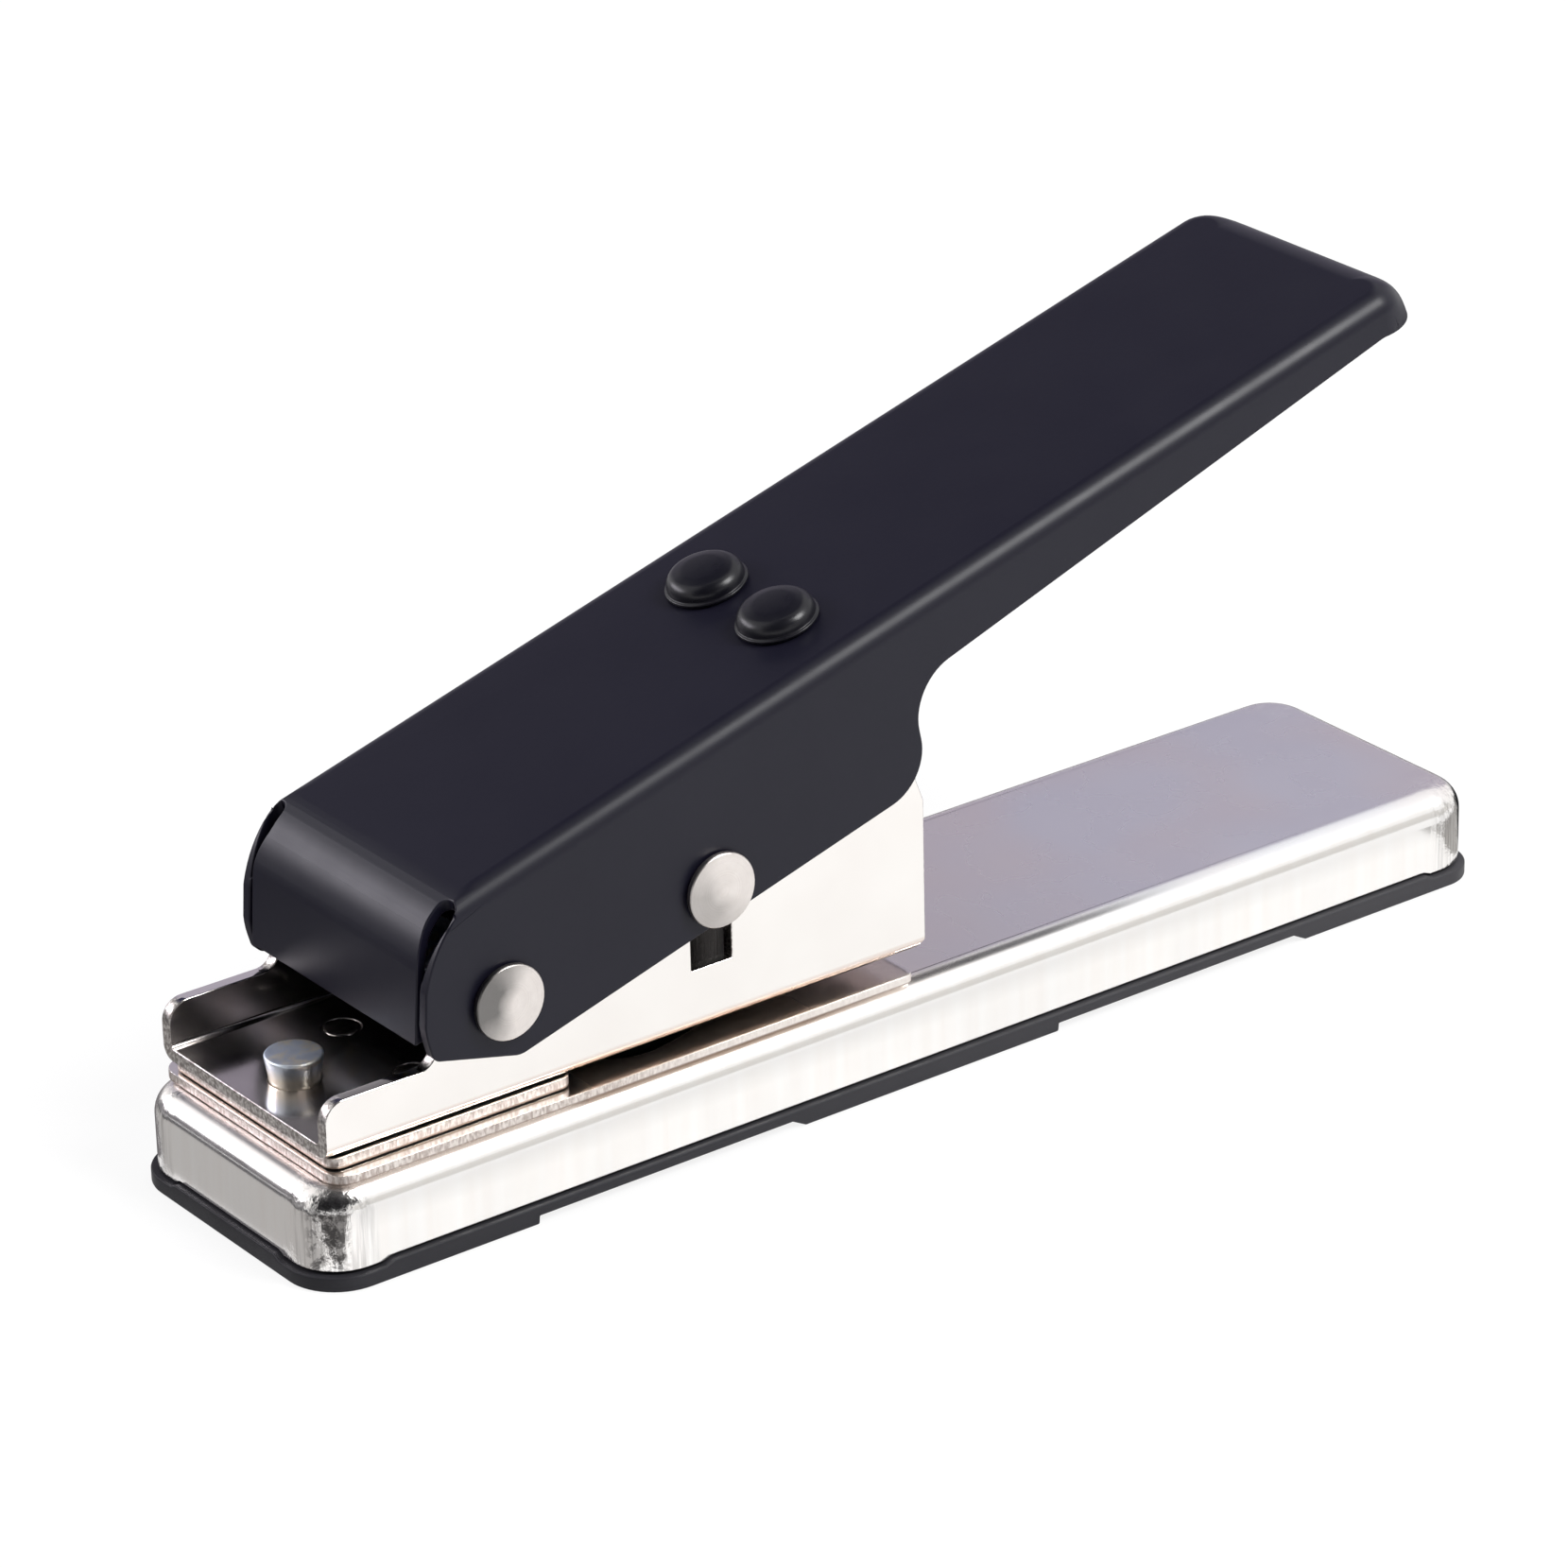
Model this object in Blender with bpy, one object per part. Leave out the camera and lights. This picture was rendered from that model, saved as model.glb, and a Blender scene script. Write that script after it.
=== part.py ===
"""Guitar pick punch: a lever drives a pick-shaped punch through a card, and the pick drops into the base.

Metres, +Z up. The origin is the middle of the tray's underside. +X runs back along the base to the tip.
"""

from math import acos, asin, atan2, ceil, cos, hypot, pi, radians, sin, sqrt, tan

import bmesh
import bpy
from mathutils import Matrix

# Gaps and steps shared by all pieces
seat_gap = 0.0003
running_gap = 0.0003
cut_overrun = 0.002
arc_step = radians(11)
arc_slack = 0.001
roundover_steps = 5
round_sides = 32
sharp_angle = radians(32)

# Base tray, moulded plastic
tray_length = 0.156
tray_width = 0.0362
tray_corner = 0.006
foot_height = 0.0009
flange_height = 0.0016
flange_ledge = 0.0007
rim_height = 0.0055
rim_wall = 0.0012
foot_lead = 0.0017
front_foot_length = 0.0264
middle_foot_start = 0.0586
middle_foot_length = 0.0356
rear_foot_length = 0.0285

# Base shell, drawn steel
shell_height = 0.009
shell_sheet = 0.0009
shell_corner = 0.0055
shell_roundover = 0.0023
shell_hem_lift = 0.0003
shell_foot_reach = 0.007
shell_hole_relief = 0.001

# Die plate and spacer plate
die_setback = 0.0027
die_length = 0.072
die_width = 0.0328
die_thickness = 0.0008
die_corner = 0.0025
die_rear_corner = 0.0045
spacer_setback = 0.0033
spacer_length = 0.0295
spacer_width = 0.0296
spacer_thickness = 0.0009
spacer_corner = 0.0015

# Frame channel
frame_setback = 0.0026
frame_length = 0.0753
frame_width = 0.0303
frame_sheet = 0.0015
frame_bend_outside = 0.0014
frame_bend_inside = 0.0004
low_wall_height = 0.0064
low_wall_radius = 0.0024
ear_radius = 0.0075
ear_foot_radius = 0.002
ear_shoulder_reach = 0.002
high_wall_height = 0.0227
high_wall_start = 0.01
high_wall_radius = 0.004
rear_lean = 0.002
rear_lean_height = 0.0053
rear_toe = 0.0006
rear_toe_height = 0.0022

# Pivot, driver pin and the stroke
pivot_inset = 0.021
pivot_height = 0.0121
driver_reach = 0.0264
driver_rise = 0.0043
press_angle = radians(15)
pin_head_radius = 0.0041
pin_head_thickness = 0.0008
pin_head_crown = 0.0002
pin_flat_radius = 0.0028
pivot_shank_radius = 0.0024
driver_shank_radius = 0.002
slot_play = 0.0004
sleeve_wall = 0.0013

# Punch, with the outline of a pick
pick_length = 0.03
pick_width = 0.026
pick_shoulder_radius = 0.0075
pick_tip_radius = 0.0035
pick_crown_radius = 0.03
pick_side_radius = 0.036
punch_clearance = 0.0003
punch_tuck = 0.0003
punch_crown_height = 0.0037

# Fasteners of the stack
post_inset = 0.0062
post_radius = 0.0027
post_stand = 0.0036
post_chamfer = 0.0004
stack_rivet_inset = 0.0162
stack_rivet_offset = 0.0065
stack_rivet_radius = 0.002
die_rivet_inset = 0.0044
die_rivet_offset = 0.0095
die_rivet_radius = 0.0016
tail_flare = 0.001
tail_thickness = 0.0009

# Lever handle, a channel pressed from sheet, laid out along its web from the pivot
tip_height = 0.07368
handle_sheet = 0.0013
handle_roundover = 0.0023
web_height = 0.0131
handle_reach = 0.1298
tip_corner = 0.006
tip_roundover = 0.0038
tip_lean = radians(9)
nose_start = 0.0005
nose_radius = 0.0085
nose_turn = radians(70)
nose_step = radians(5)
flap_height = 0.0131
flap_slit = 0.00045
slit_climb = 0.0095
relief_setback = 0.0031
relief_radius = 0.0013
relief_taper = 0.0045
relief_drop = 0.0065
wall_front = 0.0096
wall_front_foot = 0.0013
wall_front_radius = 0.0013
wall_front_curve = 0.013
wall_front_end = 0.0023
wall_drop = 0.00695
wall_drop_start = 0.0003
wall_drop_radius = 0.0025
waist_reach = 0.0542
waist_lean = 0.0008
waist_radius = 0.0055
throat_radius = 0.006
grip_depth = 0.00855
tip_wall_depth = 0.0047
tip_flange_depth = 0.0061
tip_flange_start = 0.0067
tip_foot_radius = 0.003

# Domed rivets and the leaf spring under the handle
dome_reach = 0.0481
dome_offset = 0.0061
dome_radius = 0.0045
dome_rim = 0.0006
dome_height = 0.003
dome_steps = 6
dome_shank_radius = 0.00175
spring_sheet = 0.0008
spring_plate_width = 0.018
spring_leaf_width = 0.013
spring_plate_ahead = 0.0052
spring_plate_behind = 0.0042
spring_bend_radius = 0.01
spring_foot_length = 0.005

# Heights of the stack, each piece a seat gap above the one that carries it
shell_bottom = flange_height + seat_gap
shell_top = shell_bottom + shell_height
shell_ceiling = shell_top - shell_sheet
die_bottom = shell_top + seat_gap
die_top = die_bottom + die_thickness
spacer_bottom = die_top + seat_gap
spacer_top = spacer_bottom + spacer_thickness
frame_bottom = spacer_top + seat_gap
floor_top = frame_bottom + frame_sheet

# Places along the base
shell_length = tray_length - 2 * flange_ledge
shell_width = tray_width - 2 * flange_ledge
shell_front = -shell_length / 2
die_front = shell_front + die_setback
spacer_front = shell_front + spacer_setback
frame_front = shell_front + frame_setback
frame_rear = frame_front + frame_length
pivot_x = frame_front + pivot_inset
pivot_z = frame_bottom + pivot_height
tip_angle = asin((tip_height - pivot_z) / hypot(handle_reach, web_height))
handle_slope = tip_angle - atan2(web_height, handle_reach)

# The driver pin swings round the pivot, and the punch runs midway between the ends of its swing
driver_radius = hypot(driver_reach, driver_rise)
driver_angle = atan2(driver_rise, driver_reach)
driver_x = pivot_x + driver_reach
driver_z = pivot_z + driver_rise
driver_shift = (driver_radius - driver_reach) / 2
punch_x = driver_x + driver_shift
stroke = driver_rise - driver_radius * sin(driver_angle - press_angle)

# Widths across the frame and the handle
frame_half = frame_width / 2
frame_inside = frame_half - frame_sheet
handle_inside = frame_half + seat_gap
handle_half = handle_inside + handle_sheet


def clear_scene():
    for item in list(bpy.data.objects):
        bpy.data.objects.remove(item, do_unlink=True)


def finish_look(name, colour, roughness, metallic):
    look = bpy.data.materials.new(name)
    look.use_nodes = True
    shader = look.node_tree.nodes["Principled BSDF"]
    shader.inputs["Base Color"].default_value = (*colour, 1)
    shader.inputs["Roughness"].default_value = roughness
    shader.inputs["Metallic"].default_value = metallic
    return look


def add_object(name, shape, look, parent=None, location=(0, 0, 0)):
    """A named object from a finished bmesh, shaded smooth except at its corners."""
    mesh = bpy.data.meshes.new(name)
    bmesh.ops.recalc_face_normals(shape, faces=shape.faces)
    shape.to_mesh(mesh)
    shape.free()
    mesh.shade_smooth()
    mesh.set_sharp_from_angle(angle=sharp_angle)
    item = bpy.data.objects.new(name, mesh)
    if look:
        mesh.materials.append(look)
    bpy.context.scene.collection.objects.link(item)
    item.parent = parent
    item.location = location
    return item


def add_cutter(name, shape, parent=None, location=(0, 0, 0)):
    cutter = add_object(name, shape, None, parent, location)
    cutter.hide_render = True
    cutter.display_type = "WIRE"
    return cutter


def combine(item, other, operation):
    step = item.modifiers.new(other.name, "BOOLEAN")
    step.object = other
    step.operation = operation
    step.solver = "EXACT"


def cut(item, *cutters):
    for cutter in cutters:
        combine(item, cutter, "DIFFERENCE")


def keep_inside(item, bound):
    combine(item, bound, "INTERSECT")


def arc(centre, radius, start, end, step=arc_step):
    """Points of an arc in a plane, from one angle to the other."""
    count = max(1, ceil(abs(end - start) / step - arc_slack))
    turns = [start + (end - start) * i / count for i in range(count + 1)]
    return [(centre[0] + radius * cos(a), centre[1] + radius * sin(a)) for a in turns]


def filleted(corners):
    """An outline through (across, up, radius) corners, each rounded by its own arc."""
    points = []
    for i, (across, up, radius) in enumerate(corners):
        before, after = corners[i - 1], corners[(i + 1) % len(corners)]
        if not radius:
            points.append((across, up))
            continue
        back = atan2(before[1] - up, before[0] - across)
        onward = atan2(after[1] - up, after[0] - across)
        opening = (onward - back + pi) % (2 * pi) - pi
        middle = back + opening / 2
        reach = radius / sin(abs(opening) / 2)
        centre = (across + reach * cos(middle), up + reach * sin(middle))
        half_turn = (pi - abs(opening)) / 2 * (1 if opening > 0 else -1)
        points += arc(centre, radius, middle + pi + half_turn, middle + pi - half_turn)
    return points


def prism(outline, along, low, high):
    """The outline pushed along X, Y or Z from low to high."""
    place = {
        "X": lambda a, b: (low, a, b),
        "Y": lambda a, b: (a, low, b),
        "Z": lambda a, b: (a, b, low),
    }[along]
    push = {"X": (high - low, 0, 0), "Y": (0, high - low, 0), "Z": (0, 0, high - low)}[along]
    shape = bmesh.new()
    base = shape.faces.new([shape.verts.new(place(a, b)) for a, b in outline])
    grown = bmesh.ops.extrude_face_region(shape, geom=[base], use_keep_orig=True)
    moved = [v for v in grown["geom"] if isinstance(v, bmesh.types.BMVert)]
    bmesh.ops.translate(shape, verts=moved, vec=push)
    return shape


def box(x_span, y_span, z_span):
    corners = [(x_span[0], z_span[0]), (x_span[1], z_span[0]), (x_span[1], z_span[1]), (x_span[0], z_span[1])]
    return prism(corners, "Y", *y_span)


def stack_rings(rings):
    """A closed body from rings of equally many points, capped at both ends."""
    shape = bmesh.new()
    loops = [[shape.verts.new(point) for point in ring] for ring in rings]
    for lower, upper in zip(loops, loops[1:]):
        for i in range(len(lower)):
            j = (i + 1) % len(lower)
            shape.faces.new((lower[i], lower[j], upper[j], upper[i]))
    shape.faces.new(loops[0])
    shape.faces.new(loops[-1])
    return shape


def rounded_ring(front, rear, half, front_radius, rear_radius, height):
    """A level outline with rounded corners, the rear ones with a radius of their own."""
    ring = []
    for quarter, (sx, sy) in enumerate(((1, 1), (-1, 1), (-1, -1), (1, -1))):
        end, radius = (rear, rear_radius) if sx > 0 else (front, front_radius)
        centre = (end - sx * radius, sy * (half - radius))
        ring += arc(centre, radius, quarter * pi / 2, (quarter + 1) * pi / 2)
    return [(x, y, height) for x, y in ring]


def rounded_block(front, length, width, corner, levels, rear_corner=None):
    """A block with rounded corners in plan. Each level is an inset from the full outline and a height."""
    rear, half = front + length, width / 2
    rear_corner = rear_corner or corner
    return stack_rings([
        rounded_ring(front + inset, rear - inset, half - inset, corner - inset, rear_corner - inset, height)
        for inset, height in levels
    ])


def roundover(radius, top, inset=0.0):
    """Levels of an edge that rounds from upright to flat, from a given inset on."""
    turns = [pi / 2 * i / roundover_steps for i in range(roundover_steps + 1)]
    return [(inset + radius * (1 - cos(a)), top - radius * (1 - sin(a))) for a in turns]


def drawn_in(radius, depth):
    """How far a rounded edge has drawn in at a depth below its top."""
    left = max(radius - depth, 0)
    return radius - sqrt(radius**2 - left**2)


def turned(profile, sides=round_sides):
    """A body of revolution about Z from (radius, height) points that start and end on the axis."""
    shape = bmesh.new()
    rings = []
    for radius, height in profile:
        if radius:
            turns = [2 * pi * i / sides for i in range(sides)]
            rings.append([shape.verts.new((radius * cos(a), radius * sin(a), height)) for a in turns])
        else:
            rings.append([shape.verts.new((0, 0, height))])
    for lower, upper in zip(rings, rings[1:]):
        for i in range(sides):
            j = (i + 1) % sides
            if len(lower) == 1:
                shape.faces.new((lower[0], upper[j], upper[i]))
            elif len(upper) == 1:
                shape.faces.new((lower[i], lower[j], upper[0]))
            else:
                shape.faces.new((lower[i], lower[j], upper[j], upper[i]))
    return shape


def rod(radius, low, high):
    return turned([(0, low), (radius, low), (radius, high), (0, high)])


def across(shape, x=0.0, z=0.0):
    """Turns a body made about Z so that it lies along Y through a point of the side view."""
    bmesh.ops.transform(shape, matrix=Matrix.Rotation(-pi / 2, 4, "X"), verts=shape.verts)
    bmesh.ops.translate(shape, vec=(x, 0, z), verts=shape.verts)
    return shape


def at(shape, x, y):
    bmesh.ops.translate(shape, vec=(x, y, 0), verts=shape.verts)
    return shape


def pick_outline(grow=0.0):
    """The pick's outline, shoulders in front and tip at the rear: six arcs that run into each other."""
    shoulder_y = pick_width / 2 - pick_shoulder_radius
    crown = (pick_crown_radius - pick_length / 2, 0)
    crown_gap = pick_crown_radius - pick_shoulder_radius
    shoulder_x = crown[0] - sqrt(crown_gap**2 - shoulder_y**2)
    tip = (pick_length / 2 - pick_tip_radius, 0)
    shoulder_left, shoulder_right = (shoulder_x, shoulder_y), (shoulder_x, -shoulder_y)
    to_shoulder = pick_side_radius - pick_shoulder_radius
    to_tip = pick_side_radius - pick_tip_radius
    span = hypot(tip[0] - shoulder_x, shoulder_y)
    along = (to_shoulder**2 - to_tip**2 + span**2) / (2 * span)
    off = sqrt(to_shoulder**2 - along**2)
    ux, uy = (tip[0] - shoulder_x) / span, -shoulder_y / span
    side = (shoulder_x + ux * along + uy * off, shoulder_y + uy * along - ux * off)
    arcs = [
        (tip, pick_tip_radius),
        (side, pick_side_radius),
        (shoulder_left, pick_shoulder_radius),
        (crown, pick_crown_radius),
        (shoulder_right, pick_shoulder_radius),
        ((side[0], -side[1]), pick_side_radius),
    ]

    def meeting_angle(first, second):
        small, large = sorted((first, second), key=lambda item: item[1])
        return atan2(small[0][1] - large[0][1], small[0][0] - large[0][0])

    points = []
    for i, (centre, radius) in enumerate(arcs):
        start = meeting_angle(arcs[i - 1], arcs[i])
        end = meeting_angle(arcs[i], arcs[(i + 1) % len(arcs)])
        if end < start:
            end += 2 * pi
        points += arc(centre, radius + grow, start, end)[:-1]
    return points


def pick_prism(grow, low, high):
    return at(prism(pick_outline(grow), "Z", low, high), punch_x, 0)


def in_lever(forward, up):
    """A place of the side view, measured from the pivot, in the handle's own directions."""
    return (
        forward * cos(handle_slope) + up * sin(handle_slope),
        up * cos(handle_slope) - forward * sin(handle_slope),
    )


def tail(radius, shank_radius, top, bottom):
    """Profile of a rivet whose tail is flared under the shell's ceiling."""
    seat = shell_ceiling - seat_gap
    return [
        (0, seat - tail_thickness),
        (radius, seat - tail_thickness),
        (radius, seat),
        (shank_radius, seat),
        (shank_radius, bottom),
        (shank_radius - top[0], top[1]),
        (0, top[1]),
    ]


def build_tray(look):
    """Flat tray with a rim that stands inside the shell, on three foot bars as wide as the tray."""
    rim_inset = flange_ledge + shell_sheet + seat_gap
    levels = [
        (0, 0),
        (0, flange_height),
        (rim_inset, flange_height),
        (rim_inset, rim_height),
        (rim_inset + rim_wall, rim_height),
        (rim_inset + rim_wall, flange_height),
    ]
    front = -tray_length / 2
    tray = add_object("base_tray", rounded_block(front, tray_length, tray_width, tray_corner, levels), look)
    middle_start = front + middle_foot_start
    recesses = (
        (front + front_foot_length, middle_start),
        (middle_start + middle_foot_length, -front - rear_foot_length),
    )
    for number, (start, end) in enumerate(recesses):
        lead = foot_lead * (foot_height + cut_overrun) / foot_height
        outline = [(start, -cut_overrun), (start, foot_height), (end, foot_height), (end + lead, -cut_overrun)]
        side = tray_width / 2 + cut_overrun
        cut(tray, add_cutter(f"tray_recess_{number}", prism(outline, "Y", -side, side)))


def build_shell(look, holes):
    """Drawn lid: its corners stand on the tray, and its hem is lifted between them."""
    inner_roundover = shell_roundover - shell_sheet
    levels = list(reversed(roundover(inner_roundover, shell_ceiling, shell_sheet)))
    levels += [(shell_sheet, shell_bottom), (0, shell_bottom)]
    levels += roundover(shell_roundover, shell_top)
    lid_shape = rounded_block(shell_front, shell_length, shell_width, shell_corner, levels)
    shell = add_object("base_shell", lid_shape, look)
    hem = (shell_bottom - cut_overrun, shell_bottom + shell_hem_lift)
    long_half, long_side = shell_length / 2 - shell_foot_reach, shell_width / 2 + cut_overrun
    cross_half, cross_side = shell_width / 2 - shell_foot_reach, shell_length / 2 + cut_overrun
    along = add_cutter("hem_along", box((-long_half, long_half), (-long_side, long_side), hem))
    crosswise = add_cutter("hem_across", box((-cross_side, cross_side), (-cross_half, cross_half), hem))
    relief = punch_clearance + shell_hole_relief
    opening = pick_prism(relief, shell_ceiling - cut_overrun, shell_top + cut_overrun)
    cut(shell, along, crosswise, add_cutter("shell_pick_hole", opening), *holes)


def plate(name, front, length, width, corners, low, thickness, look):
    """A flat plate with the radii of its front and rear corners."""
    levels = [(0, low), (0, low + thickness)]
    return add_object(name, rounded_block(front, length, width, corners[0], levels, corners[1]), look)


def build_plates(look, stack_holes, die_holes):
    corners = (die_corner, die_rear_corner)
    die = plate("die_plate", die_front, die_length, die_width, corners, die_bottom, die_thickness, look)
    opening = pick_prism(punch_clearance, die_bottom - cut_overrun, die_top + cut_overrun)
    cut(die, add_cutter("die_pick_hole", opening), *stack_holes, *die_holes)
    spacer = plate(
        "spacer_plate", spacer_front, spacer_length, spacer_width, (spacer_corner, spacer_corner),
        spacer_bottom, spacer_thickness, look,
    )
    cut(spacer, *stack_holes)


def channel_profile(half, sheet, bend_outside, bend_inside, bottom, top):
    """Cross-section of an upright channel, across and up."""
    inside, floor = half - sheet, bottom + sheet
    return filleted([
        (-half, top, 0),
        (-half, bottom, bend_outside),
        (half, bottom, bend_outside),
        (half, top, 0),
        (inside, top, 0),
        (inside, floor, bend_inside),
        (-inside, floor, bend_inside),
        (-inside, top, 0),
    ])


def frame_side():
    """Side view of the frame's walls: low in front, an ear round the pivot, high to the rear."""
    low_top = frame_bottom + low_wall_height
    high_top = frame_bottom + high_wall_height
    ear_front, ear_top = pivot_x - ear_radius, pivot_z + ear_radius
    shoulder = pivot_x + ear_shoulder_reach
    return filleted([
        (frame_front, frame_bottom - cut_overrun, 0),
        (frame_rear - rear_toe, frame_bottom - cut_overrun, 0),
        (frame_rear - rear_toe, frame_bottom + frame_sheet / 2, 0),
        (frame_rear, frame_bottom + rear_toe_height, 0),
        (frame_rear, high_top - rear_lean_height, 0),
        (frame_rear - rear_lean, high_top, 0),
        (pivot_x + high_wall_start, high_top, high_wall_radius),
        (shoulder, ear_top, 0),
        (ear_front, ear_top, ear_radius),
        (ear_front, low_top, ear_foot_radius),
        (frame_front, low_top, low_wall_radius),
    ])


def build_frame(look, holes):
    """U channel cut to its side view, with the driver slots, the pivot holes and the punch's guide hole."""
    top = frame_bottom + high_wall_height + cut_overrun
    profile = channel_profile(frame_half, frame_sheet, frame_bend_outside, frame_bend_inside, frame_bottom, top)
    channel = prism(profile, "X", frame_front - cut_overrun, frame_rear + cut_overrun)
    frame = add_object("frame_channel", channel, look)
    side = frame_half + cut_overrun
    keep_inside(frame, add_cutter("frame_side", prism(frame_side(), "Y", -side, side)))
    slot_half = driver_shank_radius + driver_shift + slot_play
    slot = box(
        (punch_x - slot_half, punch_x + slot_half),
        (-side, side),
        (driver_z - stroke - driver_shank_radius - slot_play, driver_z + driver_shank_radius + slot_play),
    )
    pivot_hole = across(rod(pivot_shank_radius + running_gap, -side, side), pivot_x, pivot_z)
    guide = pick_prism(punch_clearance, frame_bottom - cut_overrun, floor_top + cut_overrun)
    cut(
        frame,
        add_cutter("driver_slots", slot),
        add_cutter("frame_pivot_holes", pivot_hole),
        add_cutter("punch_guide_hole", guide),
        *holes,
    )


def hole_through(name, x, y, radius, top):
    low = shell_ceiling - cut_overrun
    return add_cutter(name, at(rod(radius + running_gap, low, top + cut_overrun), x, y))


def build_stack_fasteners(look, post_look):
    """Post and flush rivets that clamp frame, spacer, die plate and shell. Returns the holes they need."""
    post_x = frame_front + post_inset
    post_top = floor_top + post_stand
    profile = tail(post_radius + tail_flare, post_radius, (post_chamfer, post_top), post_top - post_chamfer)
    add_object("front_post", at(turned(profile), post_x, 0), post_look)
    holes = [hole_through("post_hole", post_x, 0, post_radius, floor_top)]
    rivet_x = frame_front + stack_rivet_inset
    for word, sign in (("left", 1), ("right", -1)):
        y = sign * stack_rivet_offset
        profile = rivet_profile(stack_rivet_radius, floor_top)
        add_object(f"stack_rivet_{word}", at(turned(profile), rivet_x, y), look)
        holes.append(hole_through(f"stack_rivet_hole_{word}", rivet_x, y, stack_rivet_radius, floor_top))
    return holes


def rivet_profile(radius, flush_top):
    """A flush rivet: its upper end is level with the sheet, its tail is flared below."""
    flared = tail(radius + tail_flare, radius, (0, flush_top), flush_top)[:4]
    return flared + [(radius, flush_top), (0, flush_top)]


def build_die_rivets(look):
    """Two flush rivets hold the rear of the die plate down to the shell."""
    rivet_x = die_front + die_length - die_rivet_inset
    holes = []
    for word, sign in (("left", 1), ("right", -1)):
        y = sign * die_rivet_offset
        profile = rivet_profile(die_rivet_radius, die_top)
        add_object(f"die_rivet_{word}", at(turned(profile), rivet_x, y), look)
        holes.append(hole_through(f"die_rivet_hole_{word}", rivet_x, y, die_rivet_radius, die_top))
    return holes


def pin_profile(shank_radius):
    """Pin with a crowned head at each end, outside the handle's walls."""
    seat = handle_half + seat_gap
    half = [
        (shank_radius, seat),
        (pin_head_radius, seat),
        (pin_head_radius, seat + pin_head_thickness - pin_head_crown),
        (pin_flat_radius, seat + pin_head_thickness),
        (0, seat + pin_head_thickness),
    ]
    return [(radius, -height) for radius, height in reversed(half)] + half


def build_pivot(look):
    """Riveted pin through the ears, with a spacer sleeve on it between the walls."""
    add_object("pivot_pin", across(turned(pin_profile(pivot_shank_radius)), pivot_x, pivot_z), look)
    bore = pivot_shank_radius + running_gap
    outer = bore + sleeve_wall
    end = frame_inside - seat_gap
    sleeve = add_object("pivot_sleeve", across(rod(outer, -end, end), pivot_x, pivot_z), look)
    cut(sleeve, add_cutter("sleeve_bore", across(rod(bore, -frame_half, frame_half), pivot_x, pivot_z)))


def build_punch(look):
    """Pick-shaped block guided by the hole in the frame's floor, with a cross hole for the driver pin."""
    bottom = frame_bottom + punch_tuck
    top = driver_z + punch_crown_height
    block = prism(pick_outline(), "Z", 0, top - bottom)
    punch = add_object("punch", block, look, location=(punch_x, 0, bottom))
    bore = driver_shank_radius + driver_shift + running_gap
    side = pick_width / 2 + cut_overrun
    cut(punch, add_cutter("punch_cross_hole", across(rod(bore, -side, side), punch_x, driver_z)))


def nose_arc(radius):
    """The bend from the web down into the nose, from its foot up to just short of the web."""
    centre = (nose_start, web_height - nose_radius)
    return arc(centre, radius, pi / 2 + nose_turn, pi / 2 + nose_step, nose_step)


def rising_end(web, rear):
    """A point past the tip where the line that leaves the bend through the web's plane has climbed to."""
    return (rear, web + (rear - nose_start) * tan(nose_step / 2))


def nose_foot(radius, depth):
    """Where the nose's straight part ends, at a depth below the web's outer face."""
    last = nose_arc(radius)[0]
    drop = last[1] - (web_height - depth)
    return (last[0] - drop / tan(nose_turn), web_height - depth)


def handle_side():
    """Side view of the handle's walls with the nose bend, in the handle's own directions."""
    rear = handle_reach + cut_overrun
    flap = nose_foot(nose_radius, flap_height)
    throat_x = waist_reach + waist_lean
    tip_x = handle_reach - tip_flange_start
    corners = [
        (flap[0], -wall_front_foot, wall_front_radius),
        (-wall_drop_start, -wall_drop, wall_drop_radius),
        (waist_reach, -wall_drop, waist_radius),
        (throat_x, web_height - grip_depth, throat_radius),
        (tip_x, web_height - tip_wall_depth, tip_foot_radius),
        (handle_reach, web_height - tip_flange_depth, 0),
        (rear, web_height - tip_flange_depth, 0),
        (*rising_end(web_height, rear), 0),
    ]
    nose = nose_arc(nose_radius)
    upper = [(x, z, 0) for x, z in reversed(nose)] + [(*flap, 0)]
    return filleted(corners + upper)


def hollow_side():
    """Side view of the space inside the handle: one sheet inside the nose, the web and the tip."""
    web = web_height - handle_sheet
    radius = nose_radius - handle_sheet
    below = wall_drop + cut_overrun
    foot = nose_foot(radius, web_height + below)
    nose = nose_arc(radius)
    rear = handle_reach + cut_overrun
    return [foot, (rear, -below), rising_end(web, rear)] + list(reversed(nose))


def lid(inset, roundover_radius, top, bottom):
    """Bound of the handle: rounded along the web's edges, its tip a wider bend that leans out downwards."""
    front = -(wall_front + tip_corner + cut_overrun)
    tip_radius = tip_roundover - inset
    rings = []
    for tip_inset, height in [(0, bottom)] + roundover(tip_radius, top):
        depth = top - height
        side_inset = drawn_in(roundover_radius, depth)
        lean = (tip_flange_depth - inset - depth) * tan(tip_lean)
        rear = handle_reach - inset - max(lean, 0) - tip_inset
        half = handle_half - inset - side_inset
        corner = tip_corner - inset - side_inset
        rings.append(rounded_ring(front, rear, half, corner, corner, height))
    return stack_rings(rings)


def wall_front_outline(front):
    """Side view of what is trimmed off a wall in front, so that its edge curves back under the nose bend."""
    top = web_height + cut_overrun
    centre = (wall_front_curve - wall_front, web_height - wall_front_curve)
    end = pi - acos((centre[0] + wall_front_end) / wall_front_curve)
    curve = arc(centre, wall_front_curve, pi, end)
    return [(front, top), (front, -wall_drop), (-wall_front, -wall_drop), *curve, (-wall_front_end, top)]


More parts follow.
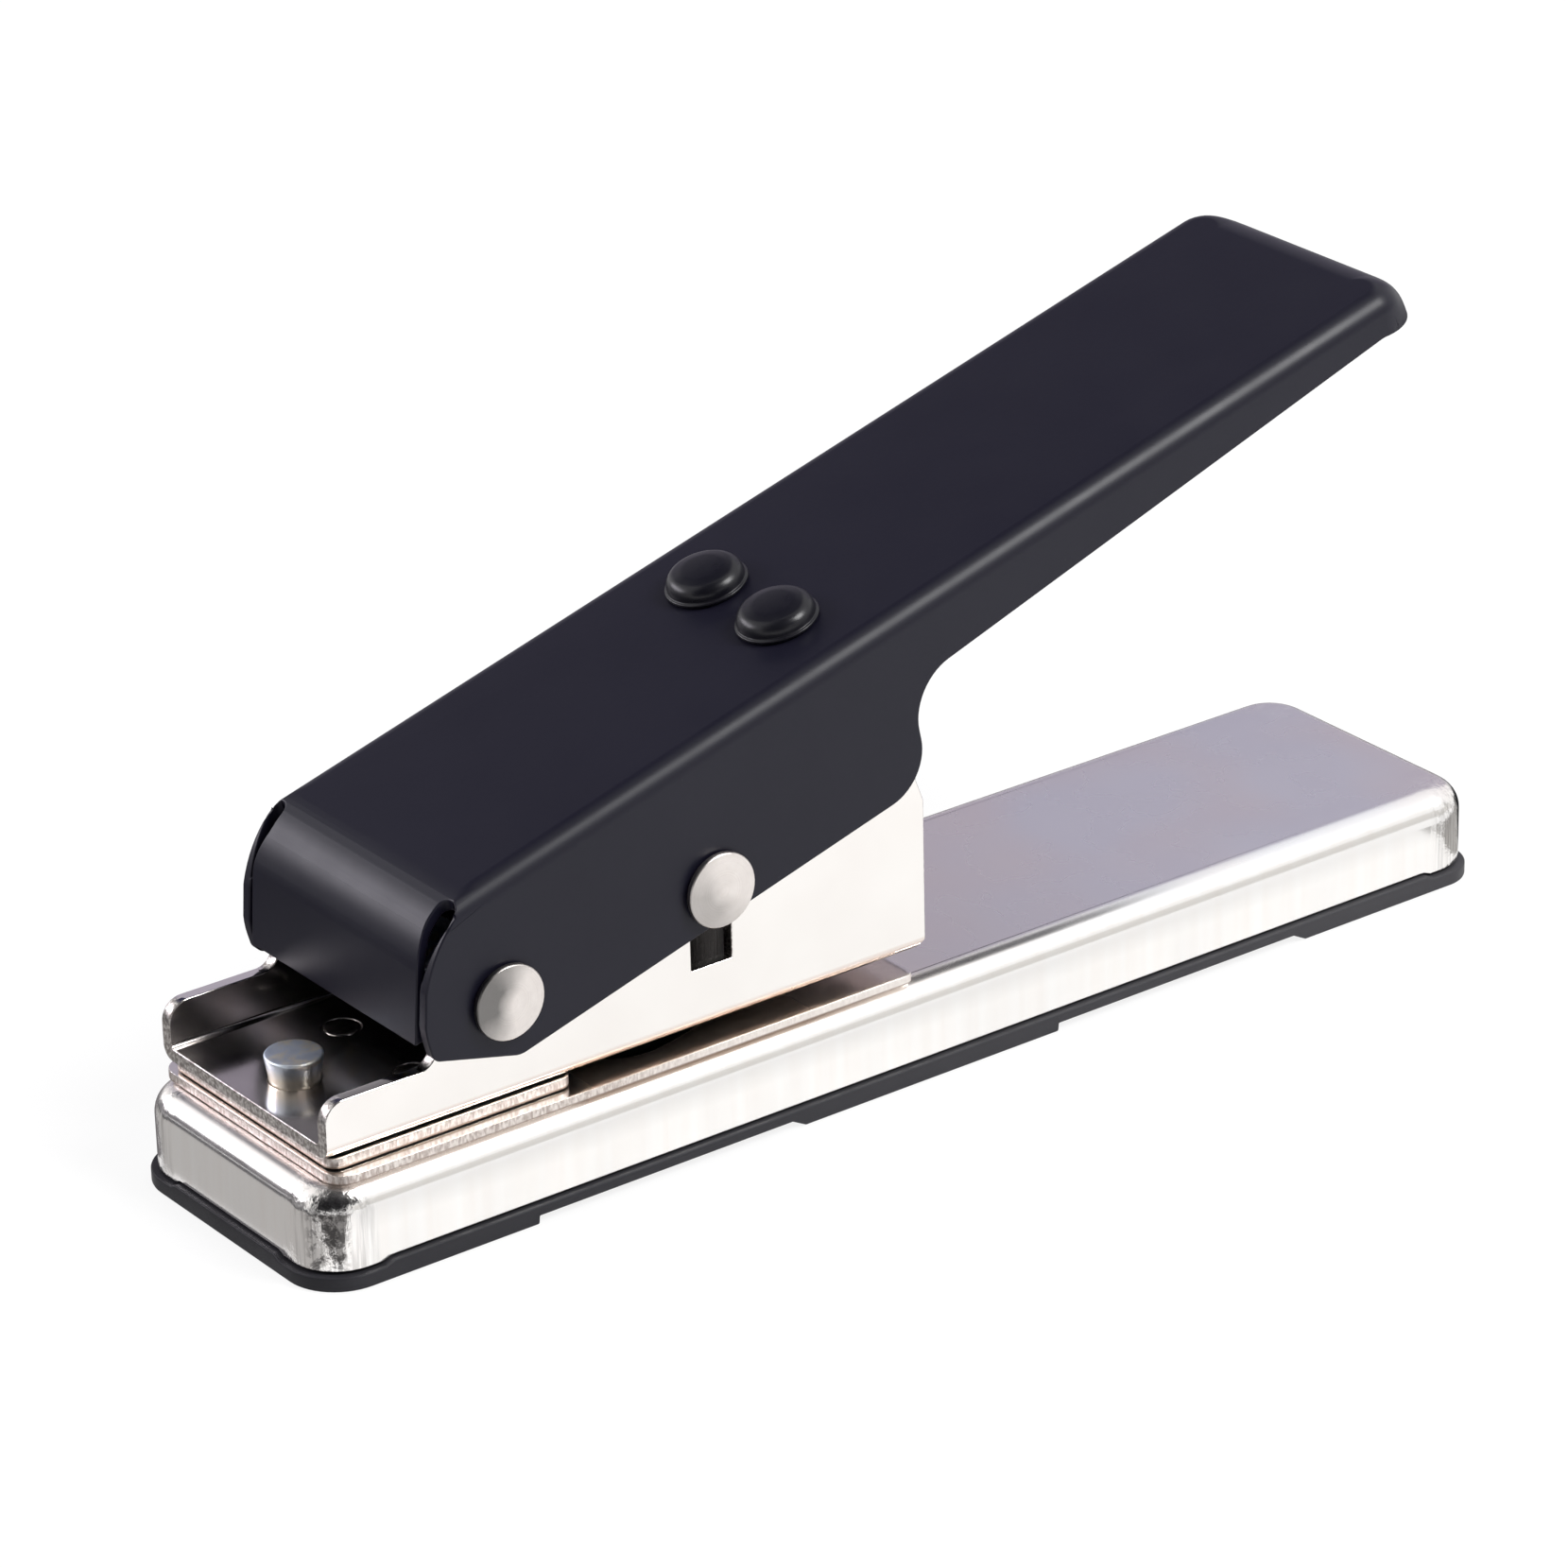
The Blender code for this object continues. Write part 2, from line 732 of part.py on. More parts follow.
def relief_outline(sign):
    """Plan of the hole that ends a slit of the nose: round at the rear, tapering into the slit."""
    inner = handle_inside - flap_slit
    rounded = arc((-relief_setback, inner), relief_radius, -pi / 2, pi / 2)
    taper_end = -relief_setback - relief_taper
    outline = [*rounded, (taper_end, handle_inside), (taper_end, inner)]
    return [(x, sign * y) for x, y in outline]


def build_handle(look, axis, driver_place):
    """Channel pressed from sheet, open below, with a nose flap that is slit from the side walls."""
    side = handle_half + cut_overrun
    handle = add_object("lever_handle", prism(handle_side(), "Y", -side, side), look, axis)
    below = -(wall_drop + cut_overrun)
    outer_lid = lid(0, handle_roundover, web_height, below)
    keep_inside(handle, add_cutter("handle_bound", outer_lid, axis))
    hollow = add_cutter("handle_hollow", prism(hollow_side(), "Y", -side, side), axis)
    inner_top = web_height - handle_sheet
    inner_lid = lid(handle_sheet, handle_roundover - handle_sheet, inner_top, below - cut_overrun)
    keep_inside(hollow, add_cutter("hollow_bound", inner_lid, axis))
    cut(handle, hollow)

    front = -(wall_front + tip_corner)
    flap_foot = web_height - flap_height
    flap = box((front, -relief_setback), (-handle_inside, handle_inside), (below, flap_foot))
    cut(handle, add_cutter("flap_trim", flap, axis))
    for word, sign in (("left", 1), ("right", -1)):
        slit = sorted((sign * (handle_inside - flap_slit), sign * handle_inside))
        slit_box = box((front, -relief_setback), slit, (below, flap_foot + slit_climb))
        wall = sorted((sign * (handle_inside - flap_slit / 2), sign * side))
        edge = prism(wall_front_outline(front), "Y", *wall)
        relief = prism(relief_outline(sign), "Z", web_height - relief_drop, web_height + cut_overrun)
        cut(handle, add_cutter(f"nose_slit_{word}", slit_box, axis))
        cut(handle, add_cutter(f"wall_front_{word}", edge, axis))
        cut(handle, add_cutter(f"nose_relief_{word}", relief, axis))

    pivot_hole = across(rod(pivot_shank_radius + running_gap, -side, side))
    driver_hole = across(rod(driver_shank_radius + running_gap, -side, side), *driver_place)
    cut(handle, add_cutter("handle_pivot_holes", pivot_hole, axis))
    cut(handle, add_cutter("handle_driver_holes", driver_hole, axis))
    return handle


def build_driver_pin(look, axis, driver_place):
    """Pin riveted across the handle: it runs in the frame's slots and carries the punch."""
    add_object("driver_pin", across(turned(pin_profile(driver_shank_radius)), *driver_place), look, axis)


def dome_profile():
    """Domed head on the web, shank through web and spring, tail clenched under the spring."""
    seat = web_height + seat_gap
    tail_top = web_height - handle_sheet - seat_gap - spring_sheet - seat_gap
    tail_radius = dome_shank_radius + tail_flare
    rise = dome_height - dome_rim
    ball = (dome_radius**2 + rise**2) / (2 * rise)
    end = atan2(dome_radius, ball - rise)
    turns = [end * (1 - i / dome_steps) for i in range(dome_steps)]
    crown = [(ball * sin(a), seat + dome_height - ball * (1 - cos(a))) for a in turns]
    return [
        (0, tail_top - tail_thickness),
        (tail_radius, tail_top - tail_thickness),
        (tail_radius, tail_top),
        (dome_shank_radius, tail_top),
        (dome_shank_radius, seat),
        (dome_radius, seat),
        *crown,
        (0, seat + dome_height),
    ]


def build_domed_rivets(look, axis):
    holes = []
    for word, sign in (("left", 1), ("right", -1)):
        y = sign * dome_offset
        add_object(f"handle_rivet_{word}", at(turned(dome_profile()), dome_reach, y), look, axis)
        low = web_height - 2 * handle_sheet - spring_sheet - cut_overrun
        shank = rod(dome_shank_radius + running_gap, low, web_height + cut_overrun)
        holes.append(add_cutter(f"handle_rivet_hole_{word}", at(shank, dome_reach, y), axis))
    return holes


def to_world(along, up):
    """A place in the handle's own directions, in the side view's directions from the pivot."""
    return (
        along * cos(handle_slope) - up * sin(handle_slope),
        up * cos(handle_slope) + along * sin(handle_slope),
    )


def spring_path():
    """Middle line of the leaf from the pivot: plate along the web, round, down, and a foot forward."""
    middle = web_height - handle_sheet - seat_gap - spring_sheet / 2
    start = to_world(dome_reach - spring_plate_ahead, middle)
    end = to_world(dome_reach + spring_plate_behind, middle)
    radius = spring_bend_radius
    upper_centre = (end[0] + radius * sin(handle_slope), end[1] - radius * cos(handle_slope))
    upper = arc(upper_centre, radius, pi / 2 + handle_slope, 0)
    foot = floor_top + seat_gap + spring_sheet / 2 - pivot_z
    lower = arc((upper_centre[0], foot + radius), radius, 0, -pi / 2)
    return [start, *upper, *lower, (lower[-1][0] - spring_foot_length, foot)]


def ribbon(path, widths, thickness):
    """A strip along a path in the side view, each station with its own width."""
    rings = []
    for i, (x, z) in enumerate(path):
        before, after = path[max(i - 1, 0)], path[min(i + 1, len(path) - 1)]
        run = hypot(after[0] - before[0], after[1] - before[1])
        out_x = (before[1] - after[1]) / run * thickness / 2
        out_z = (after[0] - before[0]) / run * thickness / 2
        half = widths[i] / 2
        rings.append([
            (x - out_x, -half, z - out_z),
            (x - out_x, half, z - out_z),
            (x + out_x, half, z + out_z),
            (x + out_x, -half, z + out_z),
        ])
    return stack_rings(rings)


def build_spring(look, holes):
    """Leaf bent to a C: riveted under the handle, its foot on the frame's floor behind the punch."""
    path = spring_path()
    taper = [spring_plate_width, spring_plate_width, (spring_plate_width + spring_leaf_width) / 2]
    widths = taper + [spring_leaf_width] * (len(path) - len(taper))
    spring = add_object("return_spring", ribbon(path, widths, spring_sheet), look, None, (pivot_x, 0, pivot_z))
    cut(spring, *holes)


def main():
    clear_scene()
    black_plastic = finish_look("tray plastic", (0.045, 0.045, 0.052), 0.55, 0)
    nickel = finish_look("nickel plate", (0.80, 0.76, 0.72), 0.18, 1)
    plate_steel = finish_look("plate steel", (0.62, 0.58, 0.55), 0.4, 1)
    turned_nickel = finish_look("turned nickel", (0.66, 0.62, 0.58), 0.38, 1)
    zinc = finish_look("zinc plate", (0.55, 0.57, 0.62), 0.35, 1)
    black_paint = finish_look("black paint", (0.022, 0.022, 0.027), 0.38, 0)
    tool_steel = finish_look("tool steel", (0.45, 0.45, 0.46), 0.3, 1)
    spring_steel = finish_look("spring steel", (0.38, 0.37, 0.37), 0.35, 1)

    build_tray(black_plastic)
    stack_holes = build_stack_fasteners(turned_nickel, zinc)
    die_holes = build_die_rivets(plate_steel)
    build_shell(nickel, stack_holes + die_holes)
    build_plates(plate_steel, stack_holes, die_holes)
    build_frame(nickel, stack_holes)
    build_pivot(turned_nickel)
    build_punch(tool_steel)

    axis = bpy.data.objects.new("lever_axis", None)
    bpy.context.scene.collection.objects.link(axis)
    axis.location = (pivot_x, 0, pivot_z)
    axis.rotation_euler = (0, -handle_slope, 0)
    driver_place = in_lever(driver_reach, driver_rise)
    handle = build_handle(black_paint, axis, driver_place)
    build_driver_pin(turned_nickel, axis, driver_place)
    rivet_holes = build_domed_rivets(black_paint, axis)
    cut(handle, *rivet_holes)
    build_spring(spring_steel, rivet_holes)


main()
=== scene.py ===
"""Guitar pick punch on a white sweep: a black lever on a plated base that stands in a plastic tray.

Shapes are made in millimetres and scaled to metres as each piece is finished. Finishes read
places from the finished piece, so their places are in metres.
"""

from math import atan2, cos, pi, radians, sin, sqrt, tan

import bmesh
import bpy
from mathutils import Matrix, Vector


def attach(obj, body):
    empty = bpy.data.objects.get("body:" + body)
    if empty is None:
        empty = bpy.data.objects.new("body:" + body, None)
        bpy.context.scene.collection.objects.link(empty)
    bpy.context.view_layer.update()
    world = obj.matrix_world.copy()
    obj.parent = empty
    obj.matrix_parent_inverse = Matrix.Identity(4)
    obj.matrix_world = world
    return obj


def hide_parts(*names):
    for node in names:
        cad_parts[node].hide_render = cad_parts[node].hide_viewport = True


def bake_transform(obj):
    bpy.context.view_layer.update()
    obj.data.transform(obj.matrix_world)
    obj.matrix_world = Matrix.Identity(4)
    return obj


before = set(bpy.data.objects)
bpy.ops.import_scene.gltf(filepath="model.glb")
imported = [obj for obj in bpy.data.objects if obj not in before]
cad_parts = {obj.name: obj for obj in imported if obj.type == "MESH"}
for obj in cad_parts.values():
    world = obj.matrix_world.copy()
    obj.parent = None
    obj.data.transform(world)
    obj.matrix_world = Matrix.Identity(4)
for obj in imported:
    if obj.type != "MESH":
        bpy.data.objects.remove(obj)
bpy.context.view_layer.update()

# Camera: a long lens a little to the left of the near side, looking down on the tool.
# Its place comes from the photograph's own perspective.
camera_data = bpy.data.cameras.new("camera")
camera_data.lens = 150.22
camera_data.sensor_width = 36
camera = bpy.data.objects.new("camera", camera_data)
bpy.context.scene.collection.objects.link(camera)
camera_place = (-0.37783, -0.50283, 0.31777)
camera_look = Vector((0.53969, 0.73024, -0.41891))
camera_roll = radians(-1.3756)
camera_turn = camera_look.to_track_quat("-Z", "Y").to_matrix().to_4x4()
camera_lean = atan2((camera_turn @ Vector((1, 0, 0))).z, (camera_turn @ Vector((0, 1, 0))).z)
camera.matrix_world = (
    Matrix.Translation(camera_place)
    @ camera_turn
    @ Matrix.Rotation(camera_roll - camera_lean, 4, "Z")
)
bpy.context.scene.camera = camera

# Studio: a white sweep under a white sky, two soft boxes, and grey and black cards.
# Only reflections see the cards, which stand round the tool or lie on the floor beside it.
# They give the plated steel its dark and lilac parts, as the unlit parts of the room did.
scene = bpy.context.scene
scene.view_settings.view_transform = "Standard"


class Value:
    """A node's output that sums and products can be written with."""

    def __init__(self, nodes, socket):
        self.nodes = nodes
        self.socket = socket

    def __add__(self, other):
        return self.nodes.maths("ADD", self, other)

    def __rsub__(self, other):
        return self.nodes.maths("SUBTRACT", other, self)

    def __mul__(self, other):
        return self.nodes.maths("MULTIPLY", self, other)

    __radd__ = __add__
    __rmul__ = __mul__


class Nodes:
    """A node tree, with a short way to make its nodes."""

    def __init__(self, tree):
        self.tree = tree

    def feed(self, socket, value):
        """Links a value to a socket, or sets the socket to a number, a vector or a colour."""
        if isinstance(value, Value):
            self.tree.links.new(value.socket, socket)
        elif isinstance(value, tuple) and len(value) == 3 and socket.type == "RGBA":
            socket.default_value = (*value, 1)
        else:
            socket.default_value = value

    def node(self, kind, settings=None, sockets=None, output=0):
        """Makes a node: its settings first, then the values or links of its sockets."""
        item = self.tree.nodes.new(kind)
        for name, value in (settings or {}).items():
            if name == "stops":
                while len(item.color_ramp.elements) < len(value):
                    item.color_ramp.elements.new(1)
                for element, (position, colour) in zip(item.color_ramp.elements, value):
                    element.position = position
                    element.color = (*colour, 1)
            else:
                setattr(item, name, value)
        for name, value in (sockets or {}).items():
            self.feed(item.inputs[name], value)
        return Value(self, item.outputs[output])

    def maths(self, operation, *values):
        return self.node("ShaderNodeMath", {"operation": operation}, dict(enumerate(values)))

    def ramp(self, value, low, high, to_low=0.0, to_high=1.0):
        """Maps one range onto another, held at its ends."""
        sockets = {"Value": value, "From Min": low, "From Max": high, "To Min": to_low, "To Max": to_high}
        return self.node("ShaderNodeMapRange", {"clamp": True}, sockets)

    def ray(self, kind):
        """1 for rays of a kind, such as those from the camera, and 0 for all others."""
        return self.node("ShaderNodeLightPath", output=f"Is {kind} Ray")

    def surface(self, shader):
        """Makes a shader the look of the surface."""
        self.feed(self.tree.nodes.new("ShaderNodeOutputMaterial").inputs["Surface"], shader)


world = bpy.data.worlds.new("studio")
world.use_nodes = True
scene.world = world
sky = Nodes(world.node_tree)
sky_seen = sky.ray("Camera")
for ray_kind in ("Glossy", "Transmission"):
    sky_seen = sky.maths("MAXIMUM", sky_seen, sky.ray(ray_kind))
background = sky.tree.nodes["Background"]
sky.feed(background.inputs["Color"], (1, 1, 1))
sky.feed(background.inputs["Strength"], sky.ramp(sky_seen, 0, 1, 0.55, 1.0))


def facing_from(place, aim, front):
    """The matrix that puts something at a place with its front axis towards a point."""
    turn = (Vector(aim) - Vector(place)).to_track_quat(front, "Y").to_matrix().to_4x4()
    return Matrix.Translation(place) @ turn


def panel(name, centre, aim, width, height):
    """A flat square of a size, facing a point, with an empty material of its own."""
    shape = bmesh.new()
    bmesh.ops.create_grid(shape, x_segments=1, y_segments=1, size=0.5)
    bmesh.ops.scale(shape, vec=(width, height, 1), verts=shape.verts)
    bmesh.ops.transform(shape, matrix=facing_from(centre, aim, "Z"), verts=shape.verts)
    mesh = bpy.data.meshes.new(name)
    shape.to_mesh(mesh)
    shape.free()
    item = bpy.data.objects.new(name, mesh)
    scene.collection.objects.link(item)
    material = bpy.data.materials.new(name)
    material.use_nodes = True
    material.node_tree.nodes.clear()
    mesh.materials.append(material)
    return item, Nodes(material.node_tree)


def reflector(name, centre, aim, width, height, colour):
    """A card that shows in reflections only."""
    item, look = panel(name, centre, aim, width, height)
    look.surface(look.node("ShaderNodeEmission", None, {"Color": colour}))
    item.visible_camera = False
    item.visible_diffuse = False
    item.visible_shadow = False
    item.visible_transmission = False


def soft_box(name, place, aim, width, height, power, colour=(1, 1, 1)):
    light = bpy.data.lights.new(name, "AREA")
    light.shape = "RECTANGLE"
    light.color = colour
    light.size = width
    light.size_y = height
    light.energy = power
    lamp = bpy.data.objects.new(name, light)
    scene.collection.objects.link(lamp)
    lamp.matrix_world = facing_from(place, aim, "-Z")


tool_middle = (0, 0, 0.03)
soft_box("key_box", (0.26, -0.42, 0.62), tool_middle, 0.26, 0.36, 5.2)
soft_box("rear_box", (-0.54, 0.60, 0.345), tool_middle, 0.62, 0.24, 3.6, (0.95, 0.91, 1.0))
card_black = (0.02, 0.02, 0.022)
card_grey = (0.10, 0.098, 0.105)
for standing_card in (
    # name, centre, the point it faces, width, height, colour
    ("rear_card", (0.44, 0.62, 0.28), tool_middle, 1.0, 0.5, (0.429, 0.401, 0.482)),
    ("ceiling_card", (0.12, 0.53, 0.85), tool_middle, 0.76, 0.75, (0.045, 0.044, 0.08)),
    ("camera_card", (-0.63, -0.57, 0.52), tool_middle, 1.3, 1.0, card_black),
    ("near_horizon", (0.6, -0.86, 0.19), (0, 0, 0.19), 1.6, 0.36, (0.80, 0.785, 0.765)),
    ("far_horizon", (-0.78, 0.72, 0.11), (0, 0, 0.11), 1.5, 0.2, (0.13, 0.125, 0.135)),
    ("top_flag", (-0.22, -0.20, 0.76), (0, 0, 0.02), 0.62, 0.62, card_black),
    ("side_flag", (-0.10, -0.72, 0.75), tool_middle, 0.8, 0.8, card_black),
):
    reflector(*standing_card)
floor_card_height = 0.0004
for name, (card_x, card_y), card_length, card_width, colour in (
    # name, centre, length along the tool, width across it, colour
    ("corner_card", (-0.105, -0.057), 0.057, 0.074, (0.24, 0.232, 0.23)),
    ("right_card", (0.2145, 0.006), 0.27, 0.037, (0.015, 0.015, 0.017)),
    ("right_grey_card", (0.2145, -0.0215), 0.27, 0.017, (0.45, 0.44, 0.43)),
    ("left_card", (-0.0943, 0.0215), 0.0295, 0.08, (0.45, 0.44, 0.437)),
    ("left_side_card", (-0.0943, 0.1715), 0.0295, 0.22, card_grey),
    ("left_far_card", (-0.2293, 0.1315), 0.2405, 0.3, card_grey),
    ("rear_floor_card", (0.15, 0.222), 0.458, 0.406, (0.2, 0.19, 0.2)),
):
    place = (card_x, card_y, floor_card_height)
    reflector(name, place, (card_x, card_y, 1), card_length, card_width, colour)

floor_depth = 0.00005
floor_size = 6
_, floor_look = panel("floor", (0, 0, -floor_depth), (0, 0, 1), floor_size, floor_size)
paper = floor_look.node("ShaderNodeBsdfDiffuse", None, {"Color": (0.92, 0.92, 0.92)})
lit_paper = floor_look.node("ShaderNodeEmission", None, {"Strength": 1.02})
lit_share = 0.84 * floor_look.ray("Camera") + 0.5 * floor_look.ray("Glossy")
floor_look.surface(floor_look.node("ShaderNodeMixShader", None, {0: lit_share, 1: paper, 2: lit_paper}))


# Base tray: a black plastic moulding, pushed up into the steel base from below.
# Three bars across its underside are its feet, and a low rim on it grips the base from inside.
class Finish(Nodes):
    """A material of one shader, whose patterns follow the piece's own coordinates."""

    def __init__(self, name, **sockets):
        self.material = bpy.data.materials.new(name)
        self.material.use_nodes = True
        super().__init__(self.material.node_tree)
        self.shader = self.tree.nodes["Principled BSDF"]
        self.place = self.node("ShaderNodeTexCoord", output="Object")
        self.set(**sockets)

    def set(self, **sockets):
        """Feeds the shader's own sockets, named with underscores for spaces."""
        for name, value in sockets.items():
            self.feed(self.shader.inputs[name.replace("_", " ")], value)

    def at(self, axis):
        """The place on the piece along an axis, in metres."""
        return self.node("ShaderNodeSeparateXYZ", None, {0: self.place}, axis)

    def off(self, axis):
        """The distance from the piece's middle along an axis, in metres."""
        return self.maths("ABSOLUTE", self.at(axis))

    def facing(self, axis):
        """How much the surface faces along an axis, either way, from 0 to 1."""
        normal = self.node("ShaderNodeTexCoord", output="Normal")
        return self.maths("ABSOLUTE", self.node("ShaderNodeSeparateXYZ", None, {0: normal}, axis))

    def noise(self, size, detail=2, roughness=0.5, stretch=(1, 1, 1), turn=(0, 0, 0)):
        """Noise with features of a size in millimetres, scaled and turned on the piece."""
        sockets = {"Vector": self.place, "Scale": stretch, "Rotation": turn}
        sockets = {
            "Vector": self.node("ShaderNodeMapping", None, sockets),
            "Scale": 1000 / size,
            "Detail": detail,
            "Roughness": roughness,
        }
        return self.node("ShaderNodeTexNoise", None, sockets, "Fac")

    def mix(self, share, first, second):
        """Mixes two colours."""
        return self.node("ShaderNodeMix", {"data_type": "RGBA"}, {0: share, 6: first, 7: second}, 2)

    def bump(self, height, depth, strength=1.0, under=None):
        """A bump as deep as a length in millimetres, over another one."""
        sockets = {"Height": height, "Distance": depth / 1000, "Strength": strength}
        if under:
            sockets["Normal"] = under
        return self.node("ShaderNodeBump", None, sockets)


def block(low, high):
    """A cuboid between two corners."""
    shape = bmesh.new()
    bmesh.ops.create_cube(shape, size=1)
    bmesh.ops.scale(shape, vec=[b - a for a, b in zip(low, high)], verts=shape.verts)
    bmesh.ops.translate(shape, vec=[(a + b) / 2 for a, b in zip(low, high)], verts=shape.verts)
    return shape


def round_edges(shape, wanted, radius, segments):
    """Rounds the edges for which a test on their two end points holds."""
    edges = [e for e in shape.edges if wanted(e.verts[0].co, e.verts[1].co)]
    bmesh.ops.bevel(
        shape, geom=edges, offset=radius, segments=segments, profile=0.5, affect="EDGES", material=-1,
    )


def upright(low_x=-1000):
    """A test for edges that stand upright, from some way along on."""
    return lambda a, b: abs(a.x - b.x) + abs(a.y - b.y) < 0.01 and a.x > low_x


def split(shape, *cuts):
    """Cuts new edges through a shape where it meets planes, each given by a point and a normal."""
    for point, normal in cuts:
        everything = list(shape.verts) + list(shape.edges) + list(shape.faces)
        bmesh.ops.bisect_plane(shape, geom=everything, plane_co=point, plane_no=normal)


def split_corners(shape, along, across):
    """Cuts new edges beside all four corners of a shape, at distances from its middle."""
    split(shape, *[((sign * x, 0, 0), (1, 0, 0)) for sign in (-1, 1) for x in along])
    split(shape, *[((0, sign * y, 0), (0, 1, 0)) for sign in (-1, 1) for y in across])


def break_edges(shape, width, least_angle=38, segments=2):
    """Takes the sharpness off every edge that turns by more than an angle."""
    bmesh.ops.recalc_face_normals(shape, faces=shape.faces)
    edges = [
        e for e in shape.edges
        if len(e.link_faces) == 2 and e.calc_face_angle(0) > radians(least_angle)
    ]
    bmesh.ops.bevel(
        shape, geom=edges, offset=width, segments=segments, profile=0.5,
        affect="EDGES", material=-1, clamp_overlap=False,
    )


def finish_piece(name, shape, finish, body, slot, *nodes, place=None):
    """Makes a shape in millimetres a piece of the tool, in place of its CAD nodes."""
    if place:
        bmesh.ops.transform(shape, matrix=place, verts=shape.verts)
    bmesh.ops.scale(shape, vec=(0.001, 0.001, 0.001), verts=shape.verts)
    mesh = bpy.data.meshes.new(name)
    shape.to_mesh(mesh)
    shape.free()
    mesh.shade_smooth()
    mesh.set_sharp_from_angle(angle=radians(50))
    item = bpy.data.objects.new(name, mesh)
    item.data.materials.append(finish.material)
    scene.collection.objects.link(item)
    weights = item.modifiers.new("even shading", "WEIGHTED_NORMAL")
    weights.keep_sharp = True
    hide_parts(*nodes)
    if body:
        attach(item, body)


# Painted light and shade: the plastic is painted lighter towards the rear and nearly black on its ends, as
# in the photograph.
tray_plastic = Finish("black tray plastic", IOR=1.46, Specular_IOR_Level=0.18)
tray_grain = tray_plastic.noise(0.22, 3, 0.6)
tray_cloud = tray_plastic.noise(9, 3)
tray_painted_light_rearward = tray_plastic.ramp(tray_plastic.at("X"), -0.055, 0.07)
tray_colour = tray_plastic.mix(
    tray_painted_light_rearward + 0.3 * tray_cloud, (0.022, 0.0216, 0.026), (0.046, 0.045, 0.05),
)
# Painted shade: the end faces are painted nearly black.
tray_painted_end_shade = tray_plastic.ramp(tray_plastic.facing("X"), 0.3, 0.9, 0, 0.5)
tray_plastic.set(
    Base_Color=tray_plastic.mix(tray_painted_end_shade, tray_colour, (0.002, 0.002, 0.003)),
    Roughness=tray_plastic.ramp(tray_plastic.noise(3.5, 4), 0.3, 0.7, 0.42, 0.56),
    Normal=tray_plastic.bump(tray_grain, 0.012, 0.8),
)
tray_front, tray_rear, tray_half, tray_lip = -78, 77.2, 18.1, 1.6
tray = block((tray_front, -tray_half, 0), (tray_rear, tray_half, tray_lip))
round_edges(tray, upright(0), 4.6, 14)
round_edges(tray, lambda a, b: upright()(a, b) and a.x < tray_front + 0.1, 6, 14)
rim_height = 3.9
for inset, rise in ((1.9, rim_height), (1.2, -rim_height)):
    tray_top = max(tray.faces, key=lambda f: f.calc_center_median().z)
    bmesh.ops.inset_region(tray, faces=[tray_top], thickness=inset, use_even_offset=True)
    raised = bmesh.ops.extrude_face_region(tray, geom=[tray_top])["geom"]
    bmesh.ops.delete(tray, geom=[tray_top], context="FACES_ONLY")
    raised_verts = [v for v in raised if isinstance(v, bmesh.types.BMVert)]
    bmesh.ops.translate(tray, vec=(0, 0, rise), verts=raised_verts)
recess_height = 0.9
recess_step, recess_slope = 0.08, 1.7
for recess_front, recess_rear in ((-51.6, -19.4), (16.2, 49.5)):
    bends = (recess_front, recess_front + recess_step, recess_rear, recess_rear + recess_slope)
    split(tray, *[((x, 0, 0), (1, 0, 0)) for x in bends])
    for vert in tray.verts:
        past_front = vert.co.x > recess_front + recess_step / 2
        before_rear = vert.co.x < recess_rear + recess_step / 2
        if abs(vert.co.z) < 0.01 and past_front and before_rear:
            vert.co.z = recess_height
raised_lip = 2.05
split_corners(tray, (69.2, 70.2), (9.2, 10.2))
for vert in tray.verts:
    between_corners = abs(vert.co.x) < 69.3 or abs(vert.co.y) < 9.3
    if between_corners and abs(vert.co.z - tray_lip) < 0.01:
        vert.co.z = raised_lip
break_edges(tray, 0.2, 30)
finish_piece("tray_moulding", tray, tray_plastic, "base", "tray_plastic", "base_tray")


# Base shell: a lid drawn from steel sheet in one press stroke and nickel plated.
# The draw leaves upright streaks at its corners, on which it stands, and its hem is lifted between them.
def rounded_face(corners, plane="XY", segments=9):
    """One face through corners, each with its own rounding, in one of the three planes."""
    spread = {
        "XY": lambda a, b: (a, b, 0),
        "XZ": lambda a, b: (a, 0, b),
        "YZ": lambda a, b: (0, a, b),
    }[plane]
    shape = bmesh.new()
    verts = [shape.verts.new(spread(a, b)) for a, b, _ in corners]
    shape.faces.new(verts)
    points = [v.co.copy() for v in verts]
    for i, (_, _, radius) in enumerate(corners):
        if radius:
            back = points[i - 1] - points[i]
            onward = points[(i + 1) % len(points)] - points[i]
            reach = radius / tan(back.angle(onward) / 2)
            bmesh.ops.bevel(
                shape, geom=[verts[i]], offset=reach, segments=segments, profile=0.5,
                affect="VERTICES", material=-1, clamp_overlap=False,
            )
    return shape


def thicken(shape, start, end):
    """Moves a flat face to a start and draws it out to an end, both vectors."""
    bmesh.ops.translate(shape, vec=start, verts=shape.verts)
    grown = bmesh.ops.extrude_face_region(shape, geom=list(shape.faces), use_keep_orig=True)["geom"]
    moved = [v for v in grown if isinstance(v, bmesh.types.BMVert)]
    bmesh.ops.translate(shape, vec=Vector(end) - Vector(start), verts=moved)
    bmesh.ops.recalc_face_normals(shape, faces=shape.faces)
    return shape


punch_x = -27.126


